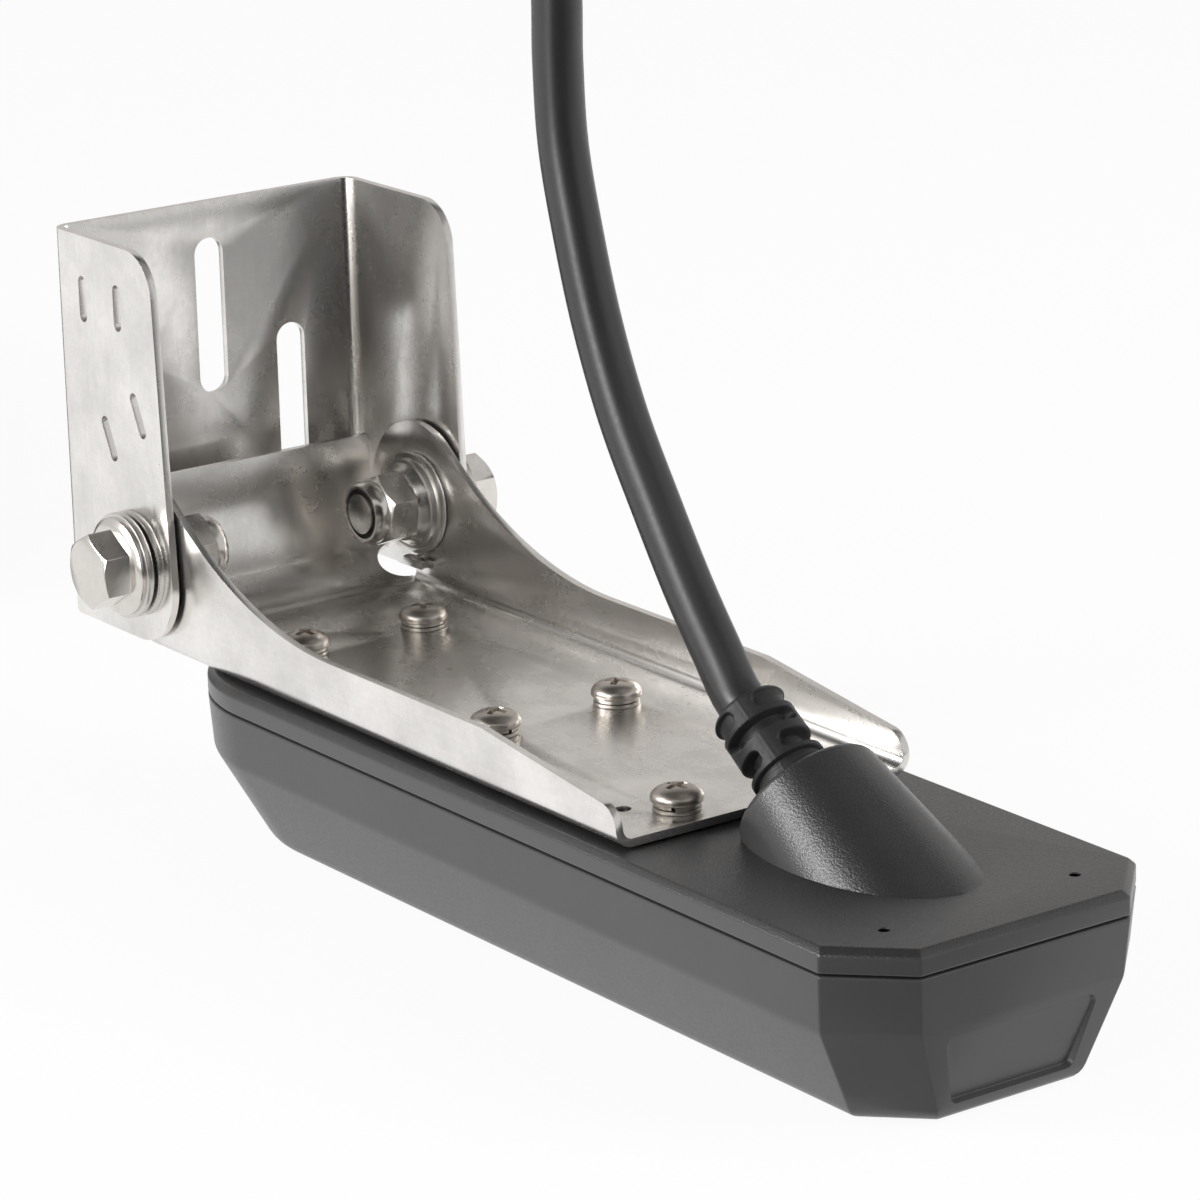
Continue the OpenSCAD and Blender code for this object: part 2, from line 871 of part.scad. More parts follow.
ring_d = bolt_d + 2.8;
ring_in = 0.4;
module lock_nuts() {
    collar_d = hex_af - 0.5;
    crown = nut_collar_h * 0.4;
    color([0.74, 0.72, 0.69])
    on_pivot(nut_end - nut_collar_h)
        difference() {
            union() {
                translate([0, 0, nut_collar_h + nut_h])
                    mirror([0, 0, 1])
                        trimmed_hexagon(nut_h, 38);
                cylinder(h = crown, d1 = collar_d - 1.4, d2 = collar_d);
                translate([0, 0, crown])
                    cylinder(h = nut_collar_h - crown + eps, d = collar_d);
                translate([0, 0, nut_collar_h + nut_h])
                    cylinder(h = nut_flange_t, d1 = hex_af + 1, d2 = nut_flange_d);
            }
            translate([0, 0, -1])
                cylinder(h = far / 10, d = bolt_d + 0.1);
            translate([0, 0, -1])
                cylinder(h = 1 + ring_in, d = ring_d - 0.8);
            translate([0, 0, ring_in])
                cylinder(h = nut_collar_h, d = ring_d);
        }
}

module nylon_rings() {
    color([0.05, 0.05, 0.05])
    on_pivot(nut_end - nut_collar_h + ring_in)
        washer(ring_d - 0.1, bolt_d + 0.1, nut_collar_h - 0.1);
}

// Strain relief boot: foot in the gland, slotted neck, collar, stem through the cover
boot_core_d = cable_d + 1.2;
mould_line = -45;
module ring_slot(at, turn, sweep, depth_d, w) {
    reach = boot_foot_d;
    rotate([0, 0, turn - sweep / 2])
        translate([0, 0, at])
            rotate_extrude(angle = sweep)
                translate([depth_d / 2, -w / 2])
                    square([reach, w]);
}

module strain_relief() {
    neck_top = boot_len - collar_len;
    slot_1 = neck_top - boot_slot_w / 2 - 0.2;
    slot_2 = slot_1 - boot_slot_w - 1.9;
    collar_r = boot_collar_d / 2;
    color([0.1, 0.1, 0.1])
    on_gland()
    difference() {
        rotate_extrude()
            polygon([[0, -stem_len], [stem_d / 2, -stem_len], [stem_d / 2, -boot_seat],
                     [boot_foot_d / 2, -boot_seat], [boot_foot_d / 2, 1],
                     [boot_foot_d / 2 - 0.5, 1.6], [boot_neck_d / 2, neck_top],
                     [collar_r - 0.4, neck_top], [collar_r, neck_top + 0.6],
                     [collar_r, boot_len - 0.8], [collar_r - 0.8, boot_len], [0, boot_len]]);
        for (s = [0, 180]) {
            ring_slot(slot_1, mould_line + s, upper_sweep, boot_core_d, boot_slot_w);
            ring_slot(slot_2, mould_line + 90 + s, lower_sweep, boot_core_d, boot_slot_w);
            ring_slot(boot_len - collar_len / 2, mould_line + 90 + s, recess_sweep,
                      boot_collar_d - 2 * recess_depth, collar_len / 2);
        }
    }
}

// Cable route in the order it runs, from the boot over the back to the hank
boot_dir = [-cos(gland_rise), 0, sin(gland_rise)];
boot_tip = [rim_x, 0, rim_z] + boot_len * boot_dir;
route = [[40, 0, 59], [32, 0, 69], [23, 0, 82], [14, 0, 96], [7, 0, 111], [2, 0, 126], [-2, 0, 142],
         [-3, 0, 157], [-3, 0, 171], [-5, -1, 185], [-11, -2, 199], [-22, -4, 211], [-38, -6, 220],
         [-58, -9, 224], [-80, -12, 221], [-102, -16, 212], [-123, -20, 198], [-143, -24, 180],
         [-161, -28, 159], [-178, -31, 136], [-194, -34.5, 113], [-210, -37.5, 94], [-226, -40, 79],
         [-245, -41.8, 68.2], [-268, -42.5, 61.8], [-294, -42.5, 60.1]];
tail = [[-323, -27.5, 51], [-333, -20.5, 49.5], [-343, -13.5, 45], [-355, -8, 37.5], [-367, -6.5, 30],
        [-381, -6.5, 20.5], [-397, -6.5, 13], [-413, -6.5, 10.7]];

function unit(v) = v / norm(v);
function along(p, i) = unit(p[min(i + 1, len(p) - 1)] - p[max(i - 1, 0)]);
function ring(c, t, r, n) =
    let (a = unit(cross([0, 1, 0], t)), b = cross(t, a))
    [for (k = [0:n - 1]) c + r * (cos(k * 360 / n) * a + sin(k * 360 / n) * b)];

module tube(p, d, first, last, n = 10) {
    m = len(p);
    rings = [for (i = [0:m - 1])
        ring(p[i], i == 0 ? first : i == m - 1 ? last : along(p, i), d / 2, n)];
    sides = [for (i = [0:m - 2], k = [0:n - 1])
        [i * n + k, (i + 1) * n + k, (i + 1) * n + (k + 1) % n, i * n + (k + 1) % n]];
    caps = [[for (k = [0:n - 1]) k], [for (k = [n - 1:-1:0]) (m - 1) * n + k]];
    polyhedron([for (r = rings) each r], concat(sides, caps));
}

module cable() {
    color([0.11, 0.11, 0.11])
    tube(concat([boot_tip], route), cable_d, boot_dir, [-1, 0, 0]);
}

module cable_tail() {
    color([0.11, 0.11, 0.11])
    tube(tail, cable_d, unit(tail[1] - tail[0]), [-1, 0, 0]);
}

// Hank: two turns wide and six high, wound round two centres in line with the object
hank_x = -294;
hank_y = -6.5;
hank_z = 1.6;
hank_run = 150;
hank_wide = 2;
hank_high = 6;
hank_in = 2.5 * cable_d;
hank_out = hank_in + hank_wide * cable_d;
hank_h = hank_high * cable_d;

module stadium(r) {
    for (x = [hank_x, hank_x - hank_run])
        translate([x, hank_y])
            circle(r);
    translate([hank_x - hank_run, hank_y - r])
        square([hank_run, 2 * r]);
}

module cable_hank() {
    color([0.11, 0.11, 0.11])
    translate([0, 0, hank_z])
        linear_extrude(hank_h)
            difference() {
                stadium(hank_out);
                stadium(hank_in);
            }
}

tie_gap = 0.2;
tie_t = 1.2;
tie_w = 5;
module hank_ties() {
    wide = hank_wide * cable_d + 2 * tie_gap;
    high = hank_h + 2 * tie_gap;
    color([0.06, 0.06, 0.06])
    for (x = [hank_x - 0.4 * hank_run, hank_x - 0.9 * hank_run])
        for (s = [-1, 1])
            translate([x - tie_w / 2, hank_y + s * (hank_in + hank_out) / 2, hank_z - tie_gap]) {
                difference() {
                    translate([0, -wide / 2 - tie_t, -tie_t])
                        cube([tie_w, wide + 2 * tie_t, high + 2 * tie_t]);
                    translate([-1, -wide / 2, 0])
                        cube([tie_w + 2, wide, high]);
                }
                translate([-0.5, -3, high + tie_t - eps])
                    cube([tie_w + 1, 6, 3]);
            }
}

// Connector at the far end, lying along -X inside the hank
plug_at = tail[len(tail) - 1];
plug_r = plug_d / 2;
spigot_r = plug_r - 1.6;
spigot_len = 12;
module on_plug(s) {
    translate(plug_at - [s, 0, 0])
        rotate([0, -90, 0])
            children();
}

module connector_body() {
    shoulder = plug_len - spigot_len;
    color([0.12, 0.12, 0.12])
    on_plug(0)
    difference() {
        rotate_extrude()
            polygon([[0, 0], [cable_d / 2 + 1.4, 0], [plug_r - 1.5, 11], [plug_r - 1.5, 13], [plug_r, 14],
                     [plug_r, shoulder], [spigot_r, shoulder], [spigot_r, plug_len], [0, plug_len]]);
        translate([0, 0, plug_len - 9])
            cylinder(h = 10, r = spigot_r - 1.1);
        for (z = [3, 6, 9])
            translate([0, 0, z])
                washer(plug_d, cable_d + 2.6, 1.2);
    }
}

module locking_collar() {
    color([0.16, 0.16, 0.16])
    on_plug(plug_len - spigot_len - 6)
    difference() {
        cylinder(h = lock_ring_len, d = lock_ring_d);
        translate([0, 0, -1])
            cylinder(h = lock_ring_len + 2, r = plug_r + 0.3);
        for (a = [0:30:330])
            rotate([0, 0, a])
                translate([lock_ring_d / 2 + 0.5, 0, 3])
                    cylinder(h = lock_ring_len - 6, r = 1.1);
    }
}

module connector_seal() {
    color([0.5, 0.12, 0.1])
    on_plug(plug_len - spigot_len + 1)
        rotate_extrude()
            translate([spigot_r + 0.75, 0])
                circle(0.7, $fn = 24);
}

module connector_pins() {
    color([0.8, 0.65, 0.3])
    on_plug(plug_len - 9)
        for (a = [[8, 3.9], [4, 1.7]])
            for (k = [0:a[0] - 1])
                rotate([0, 0, k * 360 / a[0]])
                    translate([a[1], 0, 0])
                        cylinder(h = 7, d = pin_d, $fn = 16);
}

housing();
top_cover();
cover_seal();
side_element_near();
side_element_far();
down_element();
disc_element();
disc_backing();
backing_block();
terminal_board();
temperature_sensor();
threaded_inserts();
transducer_bracket();
mounting_screws();
lock_washers();
flat_washers();
transom_bracket();
pivot_bolts();
pivot_washers();
dark_washers();
friction_washers();
inner_washers();
lock_nuts();
nylon_rings();
strain_relief();
cable();
cable_hank();
hank_ties();
cable_tail();
connector_body();
locking_collar();
connector_seal();
connector_pins();
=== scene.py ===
import math
import bpy
import bmesh
from mathutils import Matrix, Vector


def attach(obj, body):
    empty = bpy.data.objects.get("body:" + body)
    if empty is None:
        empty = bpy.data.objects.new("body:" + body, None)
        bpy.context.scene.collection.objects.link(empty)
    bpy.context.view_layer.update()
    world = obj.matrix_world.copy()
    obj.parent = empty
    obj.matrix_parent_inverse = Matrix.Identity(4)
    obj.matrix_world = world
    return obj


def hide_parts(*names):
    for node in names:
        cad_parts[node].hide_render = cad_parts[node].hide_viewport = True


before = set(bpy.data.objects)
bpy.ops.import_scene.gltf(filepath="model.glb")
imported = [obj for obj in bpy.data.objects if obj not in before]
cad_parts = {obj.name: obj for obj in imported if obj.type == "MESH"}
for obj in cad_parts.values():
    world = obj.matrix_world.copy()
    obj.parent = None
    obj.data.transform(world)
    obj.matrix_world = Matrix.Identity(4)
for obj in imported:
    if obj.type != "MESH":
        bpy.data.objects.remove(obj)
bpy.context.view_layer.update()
print("frame loaded:", len(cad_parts), "nodes")

mm = 0.001
transducer, transomMount = "transducer", "transom_mount"  # the two bodies
station = {  # places that the CAD gives, in mm
    "aftX": 122.0, "coverZ": 33.1, "plateTop": 35.1, "screwRows": (-72.0, -9.0, 45.5), "screwY": 13.5,
}
screwSpots = [(x, side * station["screwY"]) for x in station["screwRows"] for side in (-1, 1)]


def addObject(name, data):
    obj = bpy.data.objects.new(name, data)
    bpy.context.scene.collection.objects.link(obj)
    return obj


# camera, as fitted to the photograph
cameraSet = {
    "position": (718.4, -510.83, 325.19), "azimuth": 54.378, "elevation": 16.78, "roll": -1.4925,
    "lens": 154.224, "sensor": 36, "clip": (0.05, 50),
}


def placeCamera():
    a, e, r = (math.radians(cameraSet[k]) for k in ("azimuth", "elevation", "roll"))
    back = Vector((math.sin(a) * math.cos(e), -math.cos(a) * math.cos(e), math.sin(e)))
    flatRight = Vector((math.cos(a), math.sin(a), 0))
    flatUp = back.cross(flatRight)
    right = math.cos(r) * flatRight + math.sin(r) * flatUp
    up = -math.sin(r) * flatRight + math.cos(r) * flatUp
    data = bpy.data.cameras.new("viewCamera")
    data.sensor_width, data.sensor_fit, data.lens = cameraSet["sensor"], "HORIZONTAL", cameraSet["lens"]
    data.clip_start, data.clip_end = cameraSet["clip"]
    cam = addObject("viewCamera", data)
    rows = [(right[k], up[k], back[k], cameraSet["position"][k] * mm) for k in range(3)]
    cam.matrix_world = Matrix(rows + [(0, 0, 0, 1)])
    bpy.context.scene.camera = cam


placeCamera()


# shader helpers
def startFinish(name, colour, roughness, metallic, specular):
    mat = bpy.data.materials.new(name)
    mat.use_nodes = True
    shader = mat.node_tree.nodes["Principled BSDF"]
    for key, value in (("Base Color", (*colour, 1)), ("Roughness", roughness),
                       ("Metallic", metallic), ("Specular IOR Level", specular)):
        shader.inputs[key].default_value = value
    return mat, mat.node_tree, shader


def clearedTree(owner):  # an empty node tree for a material or the world
    owner.use_nodes = True
    owner.node_tree.nodes.clear()
    return owner.node_tree


def addNode(tree, kind, **values):
    node = tree.nodes.new(kind)
    for key, value in values.items():
        if key in node.inputs:
            node.inputs[key].default_value = value
        else:
            setattr(node, key, value)
    return node


def feed(tree, value, socket):  # a link, or a plain value
    if isinstance(value, bpy.types.NodeSocket):
        tree.links.new(value, socket)
    else:
        socket.default_value = (*value, 1) if isinstance(value, tuple) else value


def objectSpace(tree, scale=(1, 1, 1)):
    coords = addNode(tree, "ShaderNodeTexCoord")
    mapping = addNode(tree, "ShaderNodeMapping", Scale=scale)
    tree.links.new(coords.outputs["Object"], mapping.inputs["Vector"])
    return mapping.outputs["Vector"]


def noiseAt(tree, vector, scale, detail, rough=0.55):
    node = addNode(tree, "ShaderNodeTexNoise", Scale=scale, Detail=detail, Roughness=rough)
    tree.links.new(vector, node.inputs["Vector"])
    return node.outputs["Fac"]


def spread(tree, value, low, high, fromLow=0.3, fromHigh=0.7):
    node = addNode(tree, "ShaderNodeMapRange", **{
        "From Min": fromLow, "From Max": fromHigh, "To Min": low, "To Max": high})
    tree.links.new(value, node.inputs["Value"])
    return node.outputs["Result"]


def blendColours(tree, share, first, second):
    node = addNode(tree, "ShaderNodeMix", data_type="RGBA")
    for value, slot in ((share, 0), (first, 6), (second, 7)):
        feed(tree, value, node.inputs[slot])
    return node.outputs[2]


def blendValues(tree, share, first, second):
    node = addNode(tree, "ShaderNodeMix", data_type="FLOAT")
    for value, slot in ((share, 0), (first, 2), (second, 3)):
        feed(tree, value, node.inputs[slot])
    return node.outputs[0]


def blendShaders(tree, share, first, second, output):
    mix = addNode(tree, "ShaderNodeMixShader")
    for value, slot in ((share, 0), (first, 1), (second, 2)):
        tree.links.new(value, mix.inputs[slot])
    tree.links.new(mix.outputs[0], addNode(tree, output).inputs[0])


def mathNode(tree, operation, first, second):
    node = addNode(tree, "ShaderNodeMath", operation=operation)
    feed(tree, first, node.inputs[0])
    feed(tree, second, node.inputs[1])
    return node.outputs[0]


def addBump(tree, shader, height, strength, distance):
    node = addNode(tree, "ShaderNodeBump", Strength=strength, Distance=distance)
    tree.links.new(height, node.inputs["Height"])
    tree.links.new(node.outputs["Normal"], shader.inputs["Normal"])


def facingUp(tree, low, high):  # 0 on walls, 1 on faces that look up; it masks the walls' roughness and their painted light
    space = addNode(tree, "ShaderNodeTexCoord")
    parts = addNode(tree, "ShaderNodeSeparateXYZ")
    tree.links.new(space.outputs["Normal"], parts.inputs[0])
    return spread(tree, parts.outputs["Z"], 0.0, 1.0, low, high)


def tones(colour, vary):  # a darker and a lighter tone of it
    return tuple(c * (1 - vary) for c in colour), tuple(min(1.0, c * (1 + vary)) for c in colour)


# finishes
mouldSet = {"cloudScale": 45.0, "wallTilt": (0.2, 0.4), "wallHeight": 0.5}
steelSet = {
    "speckleScale": 900.0, "cloudScale": 55.0, "cloudShare": 0.78, "span": (0.36, 0.64), "bump": (0.02, 0.00002),
}


def mouldedFinish(name, colour, vary, roughness, specular, grainScale, grainStrength, grainDepth, wall=None):
    mat, tree, shader = startFinish(name, colour, sum(roughness) / 2, 0.0, specular)
    space = objectSpace(tree)
    cloud = spread(tree, noiseAt(tree, space, mouldSet["cloudScale"], 4.0), 0.0, 1.0)
    tint = blendColours(tree, cloud, *tones(colour, vary))
    height = noiseAt(tree, space, grainScale, 2.0, 0.5)
    matt = spread(tree, height, *roughness)
    if wall is not None:  # walls stay smooth, with a roughness of their own and a lighter colour, painted light on the sides
        paintedLitWallColour, wallRoughness = wall
        up = facingUp(tree, *mouldSet["wallTilt"])
        tint = blendColours(tree, up, paintedLitWallColour, tint)
        matt = blendValues(tree, up, wallRoughness, matt)
        height = blendValues(tree, up, mouldSet["wallHeight"], height)
    tree.links.new(tint, shader.inputs["Base Color"])
    tree.links.new(matt, shader.inputs["Roughness"])
    addBump(tree, shader, height, grainStrength, grainDepth)
    return mat


def rolledSteel(name, colour, roughness, along, mottle, streak=0.5):
    mat, tree, shader = startFinish(name, colour, sum(roughness) / 2, 1.0, 0.5)
    plain = objectSpace(tree)
    streaks = noiseAt(tree, objectSpace(tree, along), 1.0, 3.0, 0.6)
    speckle = noiseAt(tree, plain, steelSet["speckleScale"], 3.0, 0.6)
    clouds = noiseAt(tree, plain, steelSet["cloudScale"], 6.0, 0.62)
    grain = blendValues(tree, streak, speckle, streaks)
    both = blendValues(tree, steelSet["cloudShare"], grain, clouds)
    share = spread(tree, both, 0, 1, *steelSet["span"])
    matt = spread(tree, both, roughness[1], roughness[0], *steelSet["span"])
    tree.links.new(blendColours(tree, share, *tones(colour, mottle)), shader.inputs["Base Color"])
    tree.links.new(matt, shader.inputs["Roughness"])
    addBump(tree, shader, grain, *steelSet["bump"])
    return mat


finish = {
    # plastics: name, colour, spread of colour, roughness, specular, grain scale, strength and depth, walls (a lighter
    # colour of painted light, and a roughness)
    "housing": mouldedFinish("satinHousing", (0.055, 0.055, 0.056), 0.06, (0.30, 0.38), 0.55, 1500.0, 0.03, 0.00005),
    # the cover's walls are lighter than its top: painted light on the sides
    "cover": mouldedFinish("grainedCover", (0.026, 0.026, 0.027), 0.10, (0.27, 0.36), 0.8, 2800.0, 0.9, 0.00009,
                           ((0.05, 0.05, 0.051), 0.34)),
    "seal": mouldedFinish("sealRubber", (0.008, 0.008, 0.008), 0.2, (0.6, 0.8), 0.3, 900.0, 0.2, 0.0001),
    # a near-black finish without specular: painted shade in the pilot holes
    "shade": mouldedFinish("holeShade", (0.002, 0.002, 0.002), 0.2, (0.9, 1.0), 0.0, 900.0, 0.1, 0.0001),
    "boot": mouldedFinish("bootRubber", (0.020, 0.020, 0.021), 0.10, (0.42, 0.54), 0.45, 1300.0, 0.12, 0.00008),
    "cable": mouldedFinish("cableJacket", (0.020, 0.020, 0.021), 0.10, (0.32, 0.40), 0.7, 1300.0, 0.08, 0.00006),
    "nylon": mouldedFinish("blackNylon", (0.012, 0.012, 0.012), 0.15, (0.40, 0.55), 0.4, 1200.0, 0.1, 0.00006),
    "plug": mouldedFinish("plugPlastic", (0.020, 0.020, 0.021), 0.12, (0.42, 0.56), 0.45, 1100.0, 0.25, 0.0001),
    "ceramic": mouldedFinish("firedCeramic", (0.50, 0.46, 0.38), 0.10, (0.5, 0.65), 0.4, 700.0, 0.15, 0.0001),
    "backing": mouldedFinish("corkBacking", (0.22, 0.13, 0.07), 0.35, (0.75, 0.9), 0.2, 420.0, 0.5, 0.0003),
    "board": mouldedFinish("coatedBoard", (0.012, 0.10, 0.045), 0.15, (0.3, 0.4), 0.5, 600.0, 0.1, 0.0001),
    # metals: name, colour, roughness, streak scale along x, y and z, mottling, share of streaks
    "sheet": rolledSteel("rolledSheet", (0.79, 0.77, 0.745), (0.22, 0.31), (70, 900, 900), 0.13),
    "upright": rolledSteel("rolledUpright", (0.79, 0.77, 0.745), (0.23, 0.32), (900, 900, 70), 0.14),
    "fastener": rolledSteel("plainFastener", (0.72, 0.69, 0.65), (0.16, 0.30), (500, 500, 500), 0.08, 0.3),
    "screw": rolledSteel("screwSteel", (0.56, 0.515, 0.465), (0.28, 0.40), (500, 500, 500), 0.08, 0.3),
    "screwWasher": rolledSteel("screwWasherSteel", (0.56, 0.525, 0.48), (0.30, 0.42), (500, 500, 500), 0.10, 0.3),
    "washer": rolledSteel("plainWasher", (0.66, 0.64, 0.61), (0.22, 0.36), (500, 500, 500), 0.10, 0.3),
    "brass": rolledSteel("turnedBrass", (0.70, 0.50, 0.20), (0.25, 0.38), (400, 400, 400), 0.08, 0.3),
}
print("finishes ready:", len(finish))


# mesh helpers, all in mm until the mesh is written
meshSet = {
    "weld": 2e-7, "sliver": 1e-7, "cadWeld": 2e-6,  # m
    "flatTurn": 0.5, "sharpFrom": 38.0, "cadSmooth": 40.0,  # degrees
}


def dress(obj, mat, angle=32.0):
    obj.data.materials.clear()
    obj.data.materials.append(mat)
    obj.data.shade_smooth()
    obj.data.set_sharp_from_angle(angle=math.radians(angle))


def writeMesh(name, verts, faces, mat, angle=32.0):
    mesh = bpy.data.meshes.new(name)
    mesh.from_pydata([Vector(v) * mm for v in verts], [], faces)
    bm = bmesh.new()
    bm.from_mesh(mesh)
    bmesh.ops.remove_doubles(bm, verts=bm.verts, dist=meshSet["weld"])
    bmesh.ops.dissolve_degenerate(bm, dist=meshSet["sliver"], edges=bm.edges)
    bmesh.ops.recalc_face_normals(bm, faces=bm.faces)
    bm.to_mesh(mesh)
    bm.free()
    obj = addObject(name, mesh)
    dress(obj, mat, angle)
    return obj


def settle(obj, body, slot, *nodes):
    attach(obj, body)
    if nodes:
        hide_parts(*nodes)


def joinRings(rings, capFirst=True, capLast=True, closed=True):
    count = len(rings[0])
    verts = [p for ring in rings for p in ring]
    faces = []
    for i in range(len(rings) - 1):
        for k in range(count if closed else count - 1):
            m = (k + 1) % count
            faces.append((i * count + k, i * count + m, (i + 1) * count + m, (i + 1) * count + k))
    if capFirst:
        faces.append(tuple(range(count - 1, -1, -1)))
    if capLast:
        faces.append(tuple(range((len(rings) - 1) * count, len(rings) * count)))
    return verts, faces


def merged(*parts):
    verts, faces = [], []
    for v, f in parts:
        base = len(verts)
        verts += [tuple(p) for p in v]
        faces += [tuple(i + base for i in face) for face in f]
    return verts, faces


def moved(part, matrix):
    return [matrix @ Vector(p) for p in part[0]], part[1]


def circle(r, z, steps):
    return [(r * math.cos(2 * math.pi * k / steps), r * math.sin(2 * math.pi * k / steps), z) for k in range(steps)]


def revolved(profile, steps):  # profile of (radius, height), closed at both ends
    return joinRings([circle(r, z, steps) for r, z in profile])


def applied(obj):  # takes an object's modifiers into its mesh
    graph = bpy.context.evaluated_depsgraph_get()
    mesh = bpy.data.meshes.new_from_object(obj.evaluated_get(graph))
    old = obj.data
    obj.modifiers.clear()
    obj.data = mesh
    bpy.data.meshes.remove(old)


def carve(obj, part, mat, angle):
    cutter = writeMesh("cutter", *part, mat)
    cut = obj.modifiers.new("carve", "BOOLEAN")
    cut.operation, cut.solver, cut.object = "DIFFERENCE", "EXACT", cutter
    bpy.context.view_layer.update()
    applied(obj)
    bpy.data.objects.remove(cutter)
    dress(obj, mat, angle)


def softened(node, name, mat, width, segments=2):  # CAD shape with its sharp edges eased
    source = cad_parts[node].data
    bm = bmesh.new()
    for v in source.vertices:
        bm.verts.new(v.co)
    bm.verts.ensure_lookup_table()
    for p in source.polygons:
        try:
            bm.faces.new([bm.verts[i] for i in p.vertices])
        except ValueError:  # this face is there already
            pass
    bmesh.ops.remove_doubles(bm, verts=bm.verts, dist=meshSet["cadWeld"])
    bmesh.ops.dissolve_limit(bm, angle_limit=math.radians(meshSet["flatTurn"]), verts=bm.verts, edges=bm.edges)
    least = math.radians(meshSet["sharpFrom"])
    sharp = [e for e in bm.edges if len(e.link_faces) == 2 and e.calc_face_angle(0) > least]
    bmesh.ops.bevel(bm, geom=sharp, offset=width * mm, offset_type="OFFSET", segments=segments, profile=0.5,
                    affect="EDGES", clamp_overlap=True)
    mesh = bpy.data.meshes.new(name)
    bm.to_mesh(mesh)
    bm.free()
    obj = addObject(name, mesh)
    dress(obj, mat, meshSet["cadSmooth"])
    return obj


# cable: over the back, into a tied hank, and on to its plug
cableSet = {
    "diameter": 9.0, "bootTip": (48.109, 0.0, 50.827), "bootDir": (-0.81915, 0.0, 0.57358),
    "leadIn": 8, "leadOut": 4, "clearX": 40, "leadStep": 2.5, "tailStep": 4.0, "roundness": 7,
    "route": [(40, 0, 59), (32, 0, 69), (23, 0, 82), (14, 0, 96), (7, 0, 111), (2, 0, 126), (-2, 0, 142), (-3, 0, 157),
              (-3, 0, 171), (-5, -1, 185), (-11, -2, 199), (-22, -4, 211), (-38, -6, 220), (-58, -9, 224),
              (-80, -12, 221), (-102, -16, 212), (-123, -20, 198), (-143, -24, 180), (-161, -28, 159),
              (-178, -31, 136), (-194, -34.5, 113), (-210, -37.5, 94), (-226, -40, 79), (-245, -41.8, 68.2),
              (-268, -42.5, 61.8), (-294, -42.5, 60.1)],
    "tail": [(-309, -32.4, 51.1), (-323, -27.5, 51), (-333, -20.5, 49.5), (-343, -13.5, 45), (-355, -8, 37.5),
             (-367, -6.5, 30), (-381, -6.5, 20.5), (-397, -6.5, 13), (-413, -6.5, 10.7)],
    "hankX": -294.0, "hankY": -6.5, "hankRun": 150.0, "hankLow": 1.6, "layers": 6, "innerTurn": 27.0,
    "stepOver": (0.08, 0.84),  # start and length of a change of layer, as shares of a run
    "runSteps": 24, "arcSteps": 22,
}


def eased(t):
    t = min(1.0, max(0.0, t))
    return t * t * (3 - 2 * t)


def splineThrough(points, step):  # a smooth line through the points, about one point every step mm
    pts = [Vector(p) for p in points]
    line = []
    for i in range(len(pts) - 1):
        p1, p2 = pts[i], pts[i + 1]
        p0 = pts[i - 1] if i else p1 * 2 - p2
        p3 = pts[i + 2] if i + 2 < len(pts) else p2 * 2 - p1
        parts = max(2, round((p2 - p1).length / step))
        for k in range(parts):
            t = k / parts
            line.append(0.5 * ((2 * p1) + (p2 - p0) * t + (2 * p0 - 5 * p1 + 4 * p2 - p3) * t * t
                               + (3 * p1 - p0 - 3 * p2 + p3) * t ** 3))
    line.append(pts[-1])
    return line


def hankLine():
    d, near, yc = cableSet["diameter"], cableSet["hankX"], cableSet["hankY"]
    far, count = near - cableSet["hankRun"], cableSet["layers"]
    rIn = cableSet["innerTurn"]
    rOut = rIn + d
    level = [cableSet["hankLow"] + count * d - d / 2 - (k - 1) * d for k in range(count + 1)]  # 1 is the top layer
    line = []

    def run(start, end, side, high):
        for k in range(cableSet["runSteps"]):
            t = k / cableSet["runSteps"]
            line.append(Vector((start + (end - start) * t, yc + side(t), high(t))))

    def arc(centre, start, r, z):
        for k in range(cableSet["arcSteps"]):
            a = math.radians(start - 180 * k / cableSet["arcSteps"])
            line.append(Vector((centre + r * math.cos(a), yc + r * math.sin(a), z)))

    def shift(t):
        start, length = cableSet["stepOver"]
        return eased((t - start) / length)

    def turn(t):
        return math.pi / 2 * shift(t)

    for k in range(1, count + 1):  # outer turns, one layer lower each time
        run(near, far, lambda t: -rOut, lambda t, k=k: level[k] + d * math.cos(turn(t)))
        arc(far, -90, rOut, level[k])
        run(far, near, lambda t: rOut, lambda t, k=k: level[k])
        arc(near, 90, rOut, level[k])
    run(near, far, lambda t: d * math.sin(turn(t)) - rOut, lambda t: level[count])  # crosses to the inner turns
    for k in range(count, 1, -1):  # inner turns, back up
        arc(far, -90, rIn, level[k])
        run(far, near, lambda t: rIn, lambda t, k=k: level[k] + d * shift(t))
        arc(near, 90, rIn, level[k - 1])
        if k > 2:
            run(near, far, lambda t: -rIn, lambda t, k=k: level[k - 1])
    line.append(Vector((near, yc - rIn, level[1])))
    return line


def makeCable():
    s = cableSet
    tip, out = Vector(s["bootTip"]), Vector(s["bootDir"])
    lead = splineThrough([tip - out * s["leadIn"], tip, tip + out * s["leadOut"]] + s["route"], s["leadStep"])
    lead = [p for p in lead if (p - tip).dot(out) > 0.01 or p.x < s["clearX"]]  # from the boot's tip on
    hank = hankLine()
    tail = splineThrough([hank[-1]] + s["tail"], s["tailStep"])
    line = [tip] + lead[:-1] + hank[:-1] + tail
    curve = bpy.data.curves.new("transducerCable", "CURVE")
    curve.dimensions = "3D"
    spline = curve.splines.new("POLY")
    spline.points.add(len(line) - 1)
    for point, p in zip(spline.points, line):
        point.co = (*(p * mm), 1)
    spline.use_smooth = True
    curve.bevel_depth = s["diameter"] / 2 * mm
    curve.bevel_resolution = s["roundness"]
    curve.use_fill_caps = True
    curve.materials.append(finish["cable"])
    obj = addObject("transducerCable", curve)
    settle(obj, transducer, "cable_jacket", "cable", "cable_hank", "cable_tail")
    return obj, sum((b - a).length for a, b in zip(line, line[1:])) * mm


